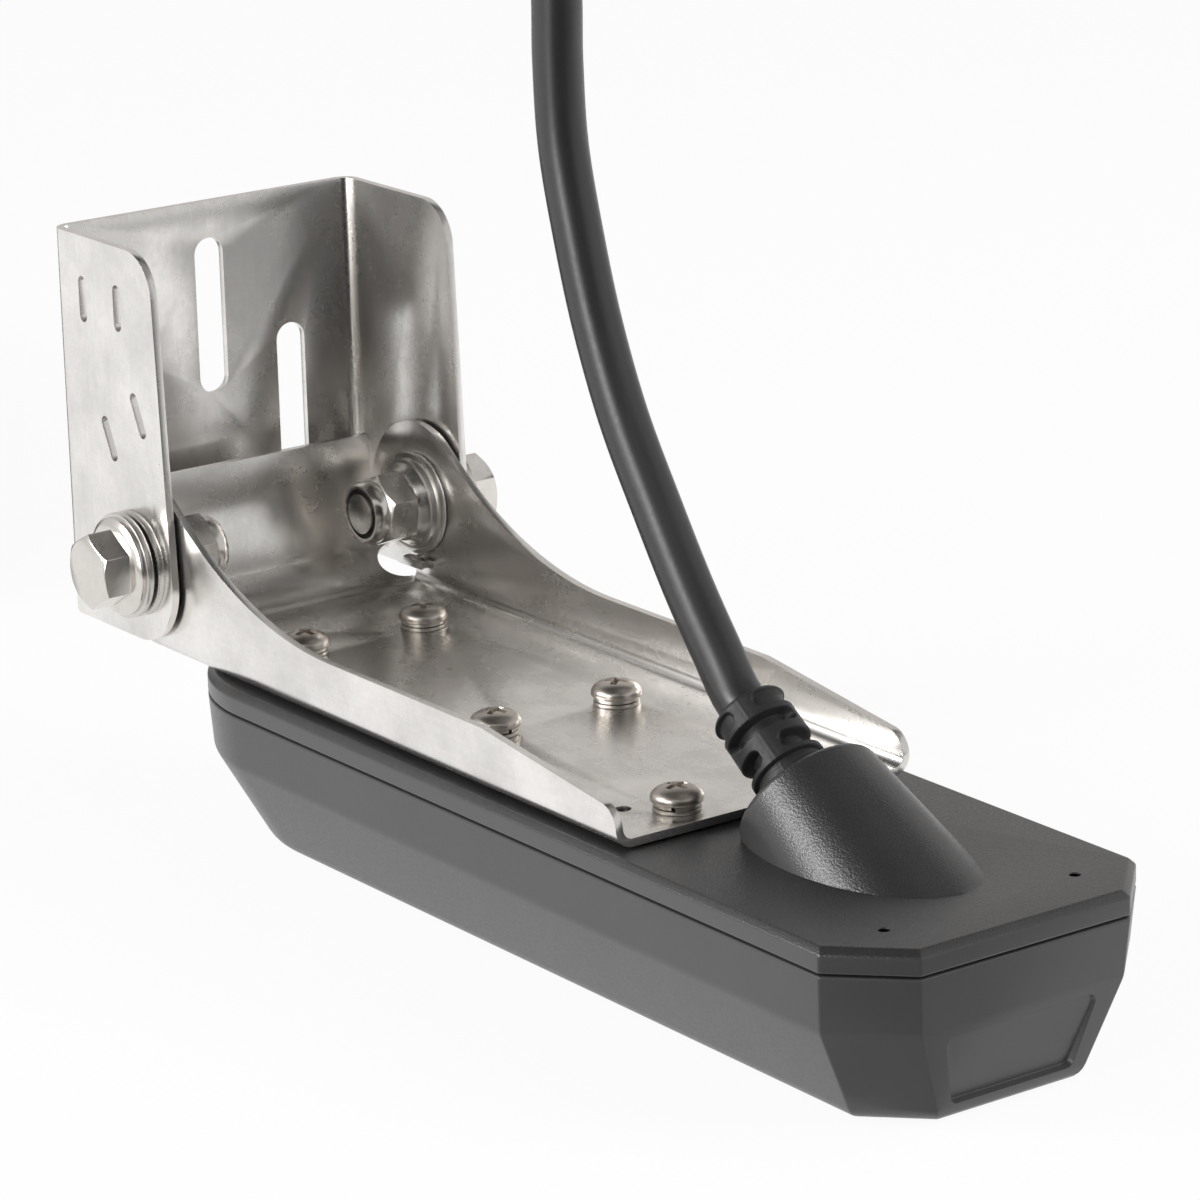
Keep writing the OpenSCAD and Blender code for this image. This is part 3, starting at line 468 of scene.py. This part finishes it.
cable, cableLength = makeCable()
print("cable length", round(cableLength, 3), "m")

for node, name, mat, slot, width in (
        ("connector_body", "plugBody", "plug", "connector_plastic", 0.3),
        ("locking_collar", "plugCollar", "plug", "connector_plastic", 0.3),
        ("hank_ties", "hankTies", "nylon", "nylon", 0.25),
        ("connector_pins", "plugPins", "brass", "brass", 0.15)):
    piece = softened(node, name, finish[mat], width)
    settle(piece, transducer, slot, node)


# body: housing below the seam, cover above it
bodySet = {
    "seam": (28.5, -99.0, 122.0, 34.0, 11.7),  # height, bow, aft, half width, facet leg
    "crease": (18.0, -98.3, 121.3, 33.3, 11.7), "bottom": (0.0, -85.0, 117.5, 25.0, 10.0),
    "wall": 3.0, "bottomRound": 5.0, "creaseRound": (0.06, 0.08), "cornerRound": 0.9, "seamGap": 0.42,
    "topEase": 0.4, "topTurns": (0.4, 0.8, 1.2, math.pi / 2),
    "legShare": 0.4, "sideStop": 4, "bowSteps": 72, "sideSteps": 10, "smooth": 14.0,
}


def roundedCorner(p0, p1, p2, r, steps=5):
    a, b = (Vector(p0) - Vector(p1)).normalized(), (Vector(p2) - Vector(p1)).normalized()
    half = a.angle(b) / 2
    cut = r / math.tan(half)
    start, end = Vector(p1) + a * cut, Vector(p1) + b * cut
    centre = Vector(p1) + (a + b).normalized() * (r / math.sin(half))
    pts = []
    for k in range(steps + 1):
        along = (start - centre).lerp(end - centre, k / steps).normalized() * r
        pts.append(tuple(centre + along))
    return pts


def outlineRing(level):
    z, bow, aft, half, leg = level
    s = bodySet
    middle = bow + half
    turns = [math.radians(90 + 180 * k / s["bowSteps"]) for k in range(s["bowSteps"] + 1)]
    side = [middle + (aft - leg - s["sideStop"] - middle) * k / s["sideSteps"] for k in range(1, s["sideSteps"])]
    corners = [(middle, -half), (aft - leg, -half), (aft, -half + leg),
               (aft, half - leg), (aft - leg, half), (middle, half)]
    ring = [(middle + half * math.cos(a), half * math.sin(a)) for a in turns]
    ring += [(x, -half) for x in side]
    for k in range(1, 5):
        ring += roundedCorner(corners[k - 1], corners[k], corners[k + 1], s["cornerRound"])
    ring += [(x, half) for x in reversed(side)]
    return [(x, y, z) for x, y in ring]


def levelInset(level, d):
    z, bow, aft, half, leg = level
    return (z, bow + d, aft - d, half - d, leg - d * bodySet["legShare"])


def levelAt(level, z):
    return (z, *level[1:])


def levelMix(a, b, t):
    return tuple(u + (v - u) * t for u, v in zip(a, b))


def levelBend(a, corner, b, steps):
    shares = [k / steps for k in range(steps + 1)]
    return [levelMix(levelMix(a, corner, t), levelMix(corner, b, t), t) for t in shares]


def easedLevels(levels, rounds, steps):  # rounds each inner corner of the section
    out = [levels[0]]
    for i, (before, after) in enumerate(rounds, 1):
        a, b = levelMix(levels[i], levels[i - 1], before), levelMix(levels[i], levels[i + 1], after)
        out += levelBend(a, levels[i], b, steps)
    return out + [levels[-1]]


def makeHousing():
    s = bodySet
    seam, crease, bottom = s["seam"], s["crease"], s["bottom"]
    rise, flare = crease[0], crease[3] - bottom[3]
    reach = s["bottomRound"] / math.tan((math.pi / 2 + math.atan(flare / rise)) / 2)
    upTo = reach / math.hypot(rise, flare)
    outer = levelBend(levelInset(bottom, reach), bottom, levelMix(bottom, crease, upTo), 6)
    rim, ease = levelAt(seam, seam[0] - s["seamGap"] / 2), s["topEase"]
    outer += easedLevels([outer[-1], crease, rim], [s["creaseRound"]], 4)[1:-1]
    outer.append(levelAt(rim, rim[0] - ease))
    for a in s["topTurns"]:
        outer.append(levelAt(levelInset(rim, ease * (1 - math.cos(a))), rim[0] - ease * (1 - math.sin(a))))
    floor = levelMix(bottom, crease, s["wall"] / rise)
    inner = [levelInset(level, s["wall"]) for level in (rim, crease, floor)]
    rings = [outlineRing(level) for level in outer + inner]
    return writeMesh("bodyHousing", *joinRings(rings), finish["housing"], s["smooth"])


housing = makeHousing()

windowSet = {
    "low": 3.2, "high": 16.7, "lowHalf": 12.9, "highHalf": 16.4, "depth": 1.2, "shallow": 0.45, "draft": 0.4,
    "corner": 1.6, "leastCorner": 0.3, "cornerShare": 0.3,
    "mouth": ((-0.5, 1.0), (-0.1, 0.1), (0.0, -0.05)),  # inset, and height over the face
    "floor": ((0.7, 0.85), (1, 1)),  # shares of the draft and of the ramp
}


def windowRing(inset, out, ramp=0.0):  # rounded trapezoid, out along the aft face's normal; ramp sinks its foot
    s = windowSet
    lowHalf, highHalf = s["lowHalf"] - inset, s["highHalf"] - inset
    low, high = s["low"] + inset, s["high"] - inset
    corners = [(-lowHalf, low), (lowHalf, low), (highHalf, high), (-highHalf, high)]
    r = max(s["leastCorner"], s["corner"] - inset * s["cornerShare"])
    flat = []
    for k in range(4):
        flat += roundedCorner(corners[k - 1], corners[k], corners[(k + 1) % 4], r, 6)
    crease, bottom = bodySet["crease"], bodySet["bottom"]
    slant, footX = math.atan((crease[2] - bottom[2]) / crease[0]), bottom[2]
    c, n = math.cos(slant), math.sin(slant)
    sunk = [(y, h, out - ramp * (s["high"] - h) / (s["high"] - s["low"])) for y, h in flat]
    return [(footX + h * n + o * c, y, h * c - o * n) for y, h, o in sunk]


def cutWindow():  # a recess, shallow at its head and deeper at its foot
    s = windowSet
    ramp = s["depth"] - s["shallow"]
    rings = [windowRing(inset, out) for inset, out in s["mouth"]]
    rings += [windowRing(s["draft"] * share, -s["shallow"], ramp * sunk) for share, sunk in s["floor"]]
    carve(housing, joinRings(rings), finish["housing"], bodySet["smooth"])


cutWindow()
settle(housing, transducer, "housing_plastic", "housing")

coverSet = {
    "edge": 3.4, "bevel": 1.2, "flatRun": 3, "bevelRound": ((0.12, 0.2), (0.25, 0.12)), "smooth": 22.0,
    "ease": 0.35, "easeShares": ((1, 0), (0.3, 0.3), (0, 1)),  # inwards, upwards
    "lipOut": 0.4, "lipIn": 2.0, "lipDrop": 2.0, "pilotInset": 11.7, "pilotAside": 20.4, "pilotSteps": 24,
    "pilotBore": ((0.0, -3.0), (0.85, -3.0), (0.95, -0.4), (1.0, -0.1), (1.1, 0.0), (1.1, 1.0), (0.0, 1.0)),
    # pilotShade: a black disc sunk in each pilot hole, painted shade in the hole
    "pilotShade": ((0.0, -0.7), (0.98, -0.7), (0.98, -0.2), (0.0, -0.2)),
}


def makeCover():
    s, seam, top = coverSet, bodySet["seam"], station["coverZ"]
    low, ease = seam[0] + bodySet["seamGap"] / 2, s["ease"]
    levels = [levelAt(levelInset(seam, ease * inwards), low + ease * up) for inwards, up in s["easeShares"]]
    upper = [levels[-1], levelAt(seam, seam[0] + s["edge"]), levelAt(levelInset(seam, s["bevel"]), top),
             levelAt(levelInset(seam, s["bevel"] + s["flatRun"]), top)]
    levels += easedLevels(upper, s["bevelRound"], 3)[1:-1]
    lip, under = (levelInset(seam, bodySet["wall"] + s[key]) for key in ("lipOut", "lipIn"))
    foot = low - s["lipDrop"]
    skirt = [levelAt(under, low), levelAt(under, foot), levelAt(lip, foot), levelAt(lip, low)]
    rings = [outlineRing(level) for level in skirt + levels]
    cover = writeMesh("topCover", *joinRings(rings), finish["cover"], s["smooth"])
    spots = [Matrix.Translation((station["aftX"] - s["pilotInset"], side * s["pilotAside"], top)) for side in (-1, 1)]
    bores, shades = (merged(*[moved(revolved(s[key], s["pilotSteps"]), spot) for spot in spots])
                     for key in ("pilotBore", "pilotShade"))
    carve(cover, bores, finish["cover"], s["smooth"])
    # the black discs are painted shade inside the pilot holes
    settle(writeMesh("paintedHoleShade", *shades, finish["shade"]), transducer, "seal_rubber")
    return cover


glandSet = {
    "rim": (64.0, 0.0, 39.7), "rise": math.radians(35), "radius": 13.4, "flare": 0.135, "rimRound": 1.4,
    "toe": -37.9, "toeEase": 1.6, "base": 33.05, "mouth": (10.0, 9.0, 8.3), "bore": 4.6,
    "seatRadius": 7.75, "seatDepth": 5.0, "seatEase": ((0.0, 0.3), (-0.1, 0.08), (-0.3, 0.0)),  # depth, more radius
    "around": 96, "toeSteps": 33, "rimSteps": 8, "smooth": 40.0,
}


def glandPart():
    s = glandSet
    out = Vector((-math.cos(s["rise"]), 0, math.sin(s["rise"])))
    up = Vector((math.sin(s["rise"]), 0, math.cos(s["rise"])))
    side = Vector((0, 1, 0))
    rim, around, toe, fillet = Vector(s["rim"]), s["around"], s["toe"], s["rimRound"]
    sections = []  # (along the axis, radius), from the toe to the bore
    for k in range(s["toeSteps"] + 1):
        t = k / s["toeSteps"]
        along = toe + (-fillet - toe) * (1 - (1 - t) ** s["toeEase"])
        sections.append((along, s["radius"] - s["flare"] * along))
    core = s["radius"] - fillet + s["flare"] * fillet
    for k in range(1, s["rimSteps"] + 1):
        a = math.radians(90 * k / s["rimSteps"])
        sections.append((-fillet + fillet * math.sin(a), core + fillet * math.cos(a)))
    sections += [(0.0, r) for r in s["mouth"]]
    sections += [(along, s["seatRadius"] + more) for along, more in s["seatEase"]]
    sections += [(-s["seatDepth"], r) for r in (s["seatRadius"], s["bore"])]
    rings = []
    for along, r in sections:
        centre = rim + out * along
        c = (s["base"] - centre.z) / (r * up.z)
        limit = math.pi if c <= -1 else math.acos(min(1.0, c))
        turns = [limit * (2 * k / around - 1) for k in range(around + 1)]
        rings.append([centre + r * (math.cos(a) * up + math.sin(a) * side) for a in turns])
    verts, faces = joinRings(rings, False, True, False)
    count = around + 1
    for i in range(len(rings) - 1):  # closes the underside
        faces.append((i * count, i * count + around, (i + 1) * count + around, (i + 1) * count))
    return verts, faces


padSet = {"profile": ((0, -0.3), (5.6, -0.3), (5.5, 0.42), (5.4, 0.5), (0, 0.5)), "steps": 48}


def padPart(x, y):
    return moved(revolved(padSet["profile"], padSet["steps"]), Matrix.Translation((x, y, station["coverZ"])))


settle(makeCover(), transducer, "cover_plastic", "top_cover")
settle(writeMesh("cableGland", *glandPart(), finish["cover"], glandSet["smooth"]), transducer, "cover_plastic")
pads = writeMesh("bracketPads", *merged(*[padPart(x, y) for x, y in screwSpots]), finish["cover"])
settle(pads, transducer, "cover_plastic")
print("body ready")


# slotted boot on the gland's axis
bootSet = {
    "foot": 7.4, "neck": 6.85, "collar": 6.9, "core": 4.75, "mouth": 4.3,
    "length": 19.4, "collarLength": 5.3, "seat": 4.8,
    "footHigh": 1.2, "footStep": 0.25, "footEase": (0.4, 0.8), "collarRise": 0.7, "topRound": 1.2,
    "slots": ((12.7, 0, 74, 2.7), (7.75, 90, 72, 3.1)),  # height, turn from the mould line, half sweep, width
    "recess": (16.85, 90, 71, 2.7), "recessDepth": 0.75, "unroll": 6.9,
    "slotEdge": (0.30, 0.50), "recessEdge": (0.2, 0.4),  # reach past the outline, width of the soft edge
    "groove": (3.6, 5.2, 6.2), "grooveEase": 0.4, "grooveLead": 0.35,  # low, high, radius
    "mouldLine": math.radians(-45), "lineFrom": 1.0, "lineHigh": 0.07, "lineRadius": 6.5, "lineWide": 0.16,
    "around": 176, "steps": 170, "tip": 0.01, "sink": 0.02, "smooth": 60.0,
}


def stadiumGap(u, v, halfLength, r):  # distance to a long rounded slot
    return math.hypot(max(abs(u) - (halfLength - r), 0.0), v) - r


def bootRadius(z):  # the boot without its slots
    s = bootSet
    neckFoot, neckTop = s["foot"] - s["footStep"], s["length"] - s["collarLength"]
    if z < s["footHigh"]:
        start, length = s["footEase"]
        return s["foot"] - s["footStep"] * eased((z - start) / length)
    if z < neckTop:
        return neckFoot + (s["neck"] - neckFoot) * (z - s["footHigh"]) / (neckTop - s["footHigh"])
    fromTop, r = s["length"] - z, s["topRound"]
    drop = 0.0 if fromTop > r else r - math.sqrt(max(0.0, r ** 2 - (r - fromTop) ** 2))
    return s["neck"] + (s["collar"] - s["neck"]) * eased((z - neckTop) / s["collarRise"]) - drop


def bootCut(z, a, slots, edge):  # 1 in a slot or in its twin on the other side, 0 outside both
    s = bootSet
    gaps = []
    for at, turn, sweep, wide in slots:
        for half in (0, math.pi):
            u = (a - s["mouldLine"] - math.radians(turn) - half + math.pi) % (2 * math.pi) - math.pi
            gaps.append(stadiumGap(u * s["unroll"], z - at, math.radians(sweep) * s["unroll"], wide / 2))
    reach, soft = edge
    return 1 - eased((min(gaps) + reach) / soft)


def makeBoot():
    s = bootSet
    around, low, high = s["around"], -s["seat"], s["length"]
    grooveLow, grooveHigh, grooveRadius = s["groove"]
    rings = [circle(s["tip"], low, around)]
    for i in range(s["steps"] + 1):
        z = low + (high - low) * i / s["steps"]
        plain = bootRadius(z)
        into = eased((z - grooveLow) / s["grooveEase"])
        outOf = eased((z - grooveHigh + s["grooveLead"]) / s["grooveEase"])
        plain += (grooveRadius - plain) * into * (1 - outOf)
        ring = []
        for k in range(around):
            a = 2 * math.pi * k / around
            deepest = bootCut(z, a, s["slots"], s["slotEdge"])
            shallow = bootCut(z, a, (s["recess"],), s["recessEdge"])
            r = plain + (s["core"] - plain) * deepest - s["recessDepth"] * shallow
            seam = (a - s["mouldLine"] + math.pi / 2) % math.pi - math.pi / 2
            if z > s["lineFrom"]:
                r += s["lineHigh"] * math.exp(-(seam * s["lineRadius"] / s["lineWide"]) ** 2) * (1 - deepest)
            ring.append((r * math.cos(a), r * math.sin(a), z))
        rings.append(ring)
    rings.append(circle(s["mouth"], high - s["sink"], around))
    place = Matrix.Translation(glandSet["rim"]) @ Matrix.Rotation(glandSet["rise"] - math.pi / 2, 4, "Y")
    boot = writeMesh("strainReliefBoot", *moved(joinRings(rings), place), finish["boot"], s["smooth"])
    settle(boot, transducer, "boot_rubber", "strain_relief")


makeBoot()
print("boot ready")


# brackets: the CAD sheets with eased edges
bracketSet = {"edge": 0.4, "segments": 3}
for node, name, mat, body in (
        ("transducer_bracket", "transducerBracket", "sheet", transducer),
        ("transom_bracket", "transomBracket", "upright", transomMount)):
    settle(softened(node, name, finish[mat], bracketSet["edge"], bracketSet["segments"]), body, "sheet_steel", node)


# screws: domed heads with a cross recess, split washers and flat washers
screwSet = {
    "head": 4.7, "rim": 0.6, "crown": 2.8, "dome": 0.9, "domeSteps": 12,
    "shank": 2.5, "length": 12.0, "point": (0.8, 0.6),  # taper and height of the point
    "headEase": ((0.25, 0.0), (0.06, 0.08), (0.0, 0.25)),  # inwards, upwards
    "cross": ((0.9, 0.55, 0.32), (1.4, 1.2, 0.42), (2.0, 1.95, 0.52), (3.0, 2.5, 0.62)),  # height, arm, half width
    "lock": 0.9, "lockOuter": 4.1, "lockGap": 5, "lockLift": 0.12, "lockSteps": 80,
    "flat": 0.7, "flatOuter": 4.3, "flatEase": 0.12, "hole": 2.75, "steps": 72, "smooth": 35.0,
    "turns": (12, 58, 25, 40, 8, 33), "lockTurn": (3, -70),  # degrees; the lock washer's turn follows its screw's
}


def screwHead():
    s = screwSet
    taper, chamfer = s["point"]
    profile = [(0, -s["length"]), (s["shank"] * taper, -s["length"]),
               (s["shank"], -s["length"] + chamfer), (s["shank"], 0.0)]
    profile += [(s["head"] - inwards, up) for inwards, up in s["headEase"]]
    for k in range(s["domeSteps"]):
        a = math.radians(90 * k / s["domeSteps"])
        profile.append((s["head"] * math.cos(a) ** s["dome"], s["rim"] + (s["crown"] - s["rim"]) * math.sin(a)))
    return revolved(profile + [(0.0, s["crown"])], s["steps"])


def crossPart():
    rings = []
    for z, arm, wide in screwSet["cross"]:
        rings.append([(x, y, z) for x, y in (
            (arm, -wide), (arm, wide), (wide, wide), (wide, arm), (-wide, arm), (-wide, wide),
            (-arm, wide), (-arm, -wide), (-wide, -wide), (-wide, -arm), (wide, -arm), (wide, -wide))])
    return joinRings(rings)


def splitWasher():
    s = screwSet
    inner, outer, high = s["hole"], s["lockOuter"], s["lock"]
    section = [(inner, 0.08), (inner + 0.1, 0.0), (outer - 0.15, 0.0), (outer, 0.12), (outer, high - 0.22),
               (outer - 0.15, high - 0.12), (inner + 0.1, high - 0.12), (inner, high - 0.2)]
    rings = []
    for k in range(s["lockSteps"] + 1):
        a = math.radians(s["lockGap"] + (360 - 2 * s["lockGap"]) * k / s["lockSteps"])
        lift = s["lockLift"] * (k / s["lockSteps"])
        rings.append([(r * math.cos(a), r * math.sin(a), z + lift) for r, z in section])
    return joinRings(rings)


def flatWasher():
    s = screwSet
    inner, outer, high, ease = s["hole"], s["flatOuter"], s["flat"], s["flatEase"]
    slight = ease * 0.3
    section = [(inner, ease), (inner + ease, 0), (outer - ease, 0), (outer - slight, slight), (outer, ease),
               (outer, high - ease), (outer - slight, high - slight), (outer - ease, high), (inner + ease, high),
               (inner, high - ease)]
    turns = [2 * math.pi * k / s["steps"] for k in range(s["steps"])]
    rings = [[(r * math.cos(a), r * math.sin(a), z) for r, z in section] for a in turns]
    return joinRings(rings + [rings[0]], False, False)


def makeScrews():
    s = screwSet
    head = writeMesh("screwHead", *screwHead(), finish["screw"], s["smooth"])
    carve(head, crossPart(), finish["screw"], s["smooth"])
    one = ([v.co / mm for v in head.data.vertices], [tuple(p.vertices) for p in head.data.polygons])
    bpy.data.objects.remove(head)
    screws, locks, flats = [], [], []
    times, more = s["lockTurn"]
    for (x, y), turn in zip(screwSpots, s["turns"]):
        z = station["plateTop"]
        flats.append(moved(flatWasher(), Matrix.Translation((x, y, z))))
        lockSpin = Matrix.Rotation(math.radians(turn * times + more), 4, "Z")
        locks.append(moved(splitWasher(), Matrix.Translation((x, y, z + s["flat"])) @ lockSpin))
        spin = Matrix.Rotation(math.radians(turn), 4, "Z")
        screws.append(moved(one, Matrix.Translation((x, y, z + s["flat"] + s["lock"])) @ spin))
    for name, parts, mat, slot, node in (
            ("mountingScrews", screws, "screw", "fastener_steel", "mounting_screws"),
            ("lockWashers", locks, "screwWasher", "washer_steel", "lock_washers"),
            ("flatWashers", flats, "screwWasher", "washer_steel", "flat_washers")):
        settle(writeMesh(name, *merged(*parts), finish[mat], s["smooth"]), transducer, slot, node)


makeScrews()
print("screws ready")

# pivot hardware
for node, name, mat, slot, width in (
        ("pivot_bolts", "pivotBolts", "fastener", "fastener_steel", 0.25),
        ("pivot_washers", "pivotWashers", "washer", "washer_steel", 0.2),
        # the dark washers are drawn near black, a dark ring between the pivot washers
        ("dark_washers", "darkWashers", "nylon", "nylon", 0.2),
        ("friction_washers", "frictionWashers", "nylon", "nylon", 0.15),
        ("inner_washers", "innerWashers", "washer", "washer_steel", 0.2),
        ("lock_nuts", "lockNuts", "fastener", "fastener_steel", 0.22),
        ("nylon_rings", "nylonRings", "nylon", "nylon", 0.15)):
    settle(softened(node, name, finish[mat], width), transomMount, slot, node)

# pieces that stay as the CAD made them
for node, mat in (
        ("cover_seal", "seal"), ("connector_seal", "seal"), ("side_element_near", "ceramic"),
        ("side_element_far", "ceramic"), ("down_element", "ceramic"), ("disc_element", "ceramic"),
        ("disc_backing", "backing"), ("backing_block", "backing"), ("terminal_board", "board"),
        ("temperature_sensor", "board"), ("threaded_inserts", "brass")):
    dress(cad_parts[node], finish[mat], 35.0)
print("hardware ready")


# floor, world, cards and lamps, in m
ahead = cameraSet["azimuth"]
stageSet = {
    "floorHalf": 4.0, "floorDrop": 0.0002, "floorColour": (0.95, 0.95, 0.95), "floorShare": 0.93,
    "ambient": 0.25, "skyShare": 0.6, "cardColour": (1, 0.97, 0.94), "lampAim": (0, 0, 0.05),
    "cards": (  # seen in reflections only: turn, distance, shift, foot height, width, reach, lean, tone
        ("edgeCard", ahead, 0.105, 0.2, 0.0, 1.5, 0.03, 90, 0.4),
        ("nearCard", ahead, 0.135, 0.2, 0.0, 1.5, 1.6, 90, 0.02),
        ("tallCard", ahead, 1.75, 0.2, 0.0, 2.6, 1.3, 0, 0.02),
        ("skyCard", 145.0, 0.7, 0.0, 0.75, 0.8, 0.8, -45, 0.3),
        ("backCard", ahead + 180, 1.8, 0.0, 0.05, 3.0, 1.5, 0, 0.62),
        ("ceilingCard", ahead, -1.6, 0.0, 2.0, 3.2, 3.2, 90, 0.05)),
    "lamps": (  # place, width and height, power, seen in reflections
        ("keyLamp", (-0.62, -1.38, 0.8), (0.6, 0.6), 13.0, True),
        ("frontLamp", (0.3, -1.38, 0.44), (0.5, 0.8), 9.0, True),
        ("sideLamp", (1.05, 0.9, 0.6), (0.6, 0.6), 13.0, False),
        ("topLamp", (0.45, 0.85, 1.15), (0.8, 0.6), 3.0, False)),
}


def seenDirectly(tree, mirrored=1.0):  # 1 for what the camera or a lens sees, a share of it in mirrors
    path = addNode(tree, "ShaderNodeLightPath").outputs
    mirror = mathNode(tree, "MULTIPLY", path["Is Glossy Ray"], mirrored)
    first = mathNode(tree, "MAXIMUM", path["Is Camera Ray"], mirror)
    return mathNode(tree, "MAXIMUM", first, path["Is Transmission Ray"])


def makeFloor():
    half, drop = stageSet["floorHalf"] / mm, -stageSet["floorDrop"] / mm
    corners = [(-half, -half, drop), (half, -half, drop), (half, half, drop), (-half, half, drop)]
    mat = bpy.data.materials.new("paleFloor")
    writeMesh("studioFloor", corners, [(0, 1, 2, 3)], mat)
    tree = clearedTree(mat)
    diffuse = addNode(tree, "ShaderNodeBsdfDiffuse", Color=(*stageSet["floorColour"], 1))
    glow = addNode(tree, "ShaderNodeEmission", Color=(1, 1, 1, 1), Strength=1.0)
    share = mathNode(tree, "MULTIPLY", seenDirectly(tree), stageSet["floorShare"])
    blendShaders(tree, share, diffuse.outputs[0], glow.outputs[0], "ShaderNodeOutputMaterial")


def makeWorld():
    world = bpy.data.worlds.new("studioWorld")
    bpy.context.scene.world = world
    tree = clearedTree(world)
    soft = addNode(tree, "ShaderNodeBackground", Color=(1, 1, 1, 1), Strength=stageSet["ambient"])
    white = addNode(tree, "ShaderNodeBackground", Color=(1, 1, 1, 1), Strength=1.0)
    share = seenDirectly(tree, stageSet["skyShare"])
    blendShaders(tree, share, soft.outputs[0], white.outputs[0], "ShaderNodeOutputWorld")


def makeCards():
    for name, turn, away, shift, high, wide, reach, lean, tone in stageSet["cards"]:
        a, b = math.radians(turn), math.radians(lean)
        toward, aside = Vector((math.sin(a), -math.cos(a), 0)), Vector((math.cos(a), math.sin(a), 0))
        foot = toward * away + aside * shift + Vector((0, 0, high))
        along = (toward * math.sin(b) + Vector((0, 0, math.cos(b)))) * reach
        half = aside * wide / 2
        corners = [c / mm for c in (foot - half, foot + half, foot + half + along, foot - half + along)]
        mat = bpy.data.materials.new(name)
        tree = clearedTree(mat)
        glow = addNode(tree, "ShaderNodeEmission", Color=(*stageSet["cardColour"], 1), Strength=tone)
        tree.links.new(glow.outputs[0], addNode(tree, "ShaderNodeOutputMaterial").inputs[0])
        card = writeMesh(name, corners, [(0, 1, 2, 3)], mat)
        card.visible_camera = card.visible_diffuse = card.visible_shadow = card.visible_transmission = False


def makeLamps():
    for name, place, size, power, mirrored in stageSet["lamps"]:
        lamp = bpy.data.lights.new(name, "AREA")
        lamp.shape, lamp.size, lamp.size_y, lamp.energy = "RECTANGLE", *size, power
        obj = addObject(name, lamp)
        obj.location = place
        obj.visible_glossy = mirrored
        obj.rotation_mode = "QUATERNION"
        obj.rotation_quaternion = (Vector(stageSet["lampAim"]) - Vector(place)).to_track_quat("-Z", "Y")


makeFloor()
makeWorld()
makeCards()
makeLamps()
bpy.context.scene.view_settings.view_transform = "Standard"
print("scene ready")
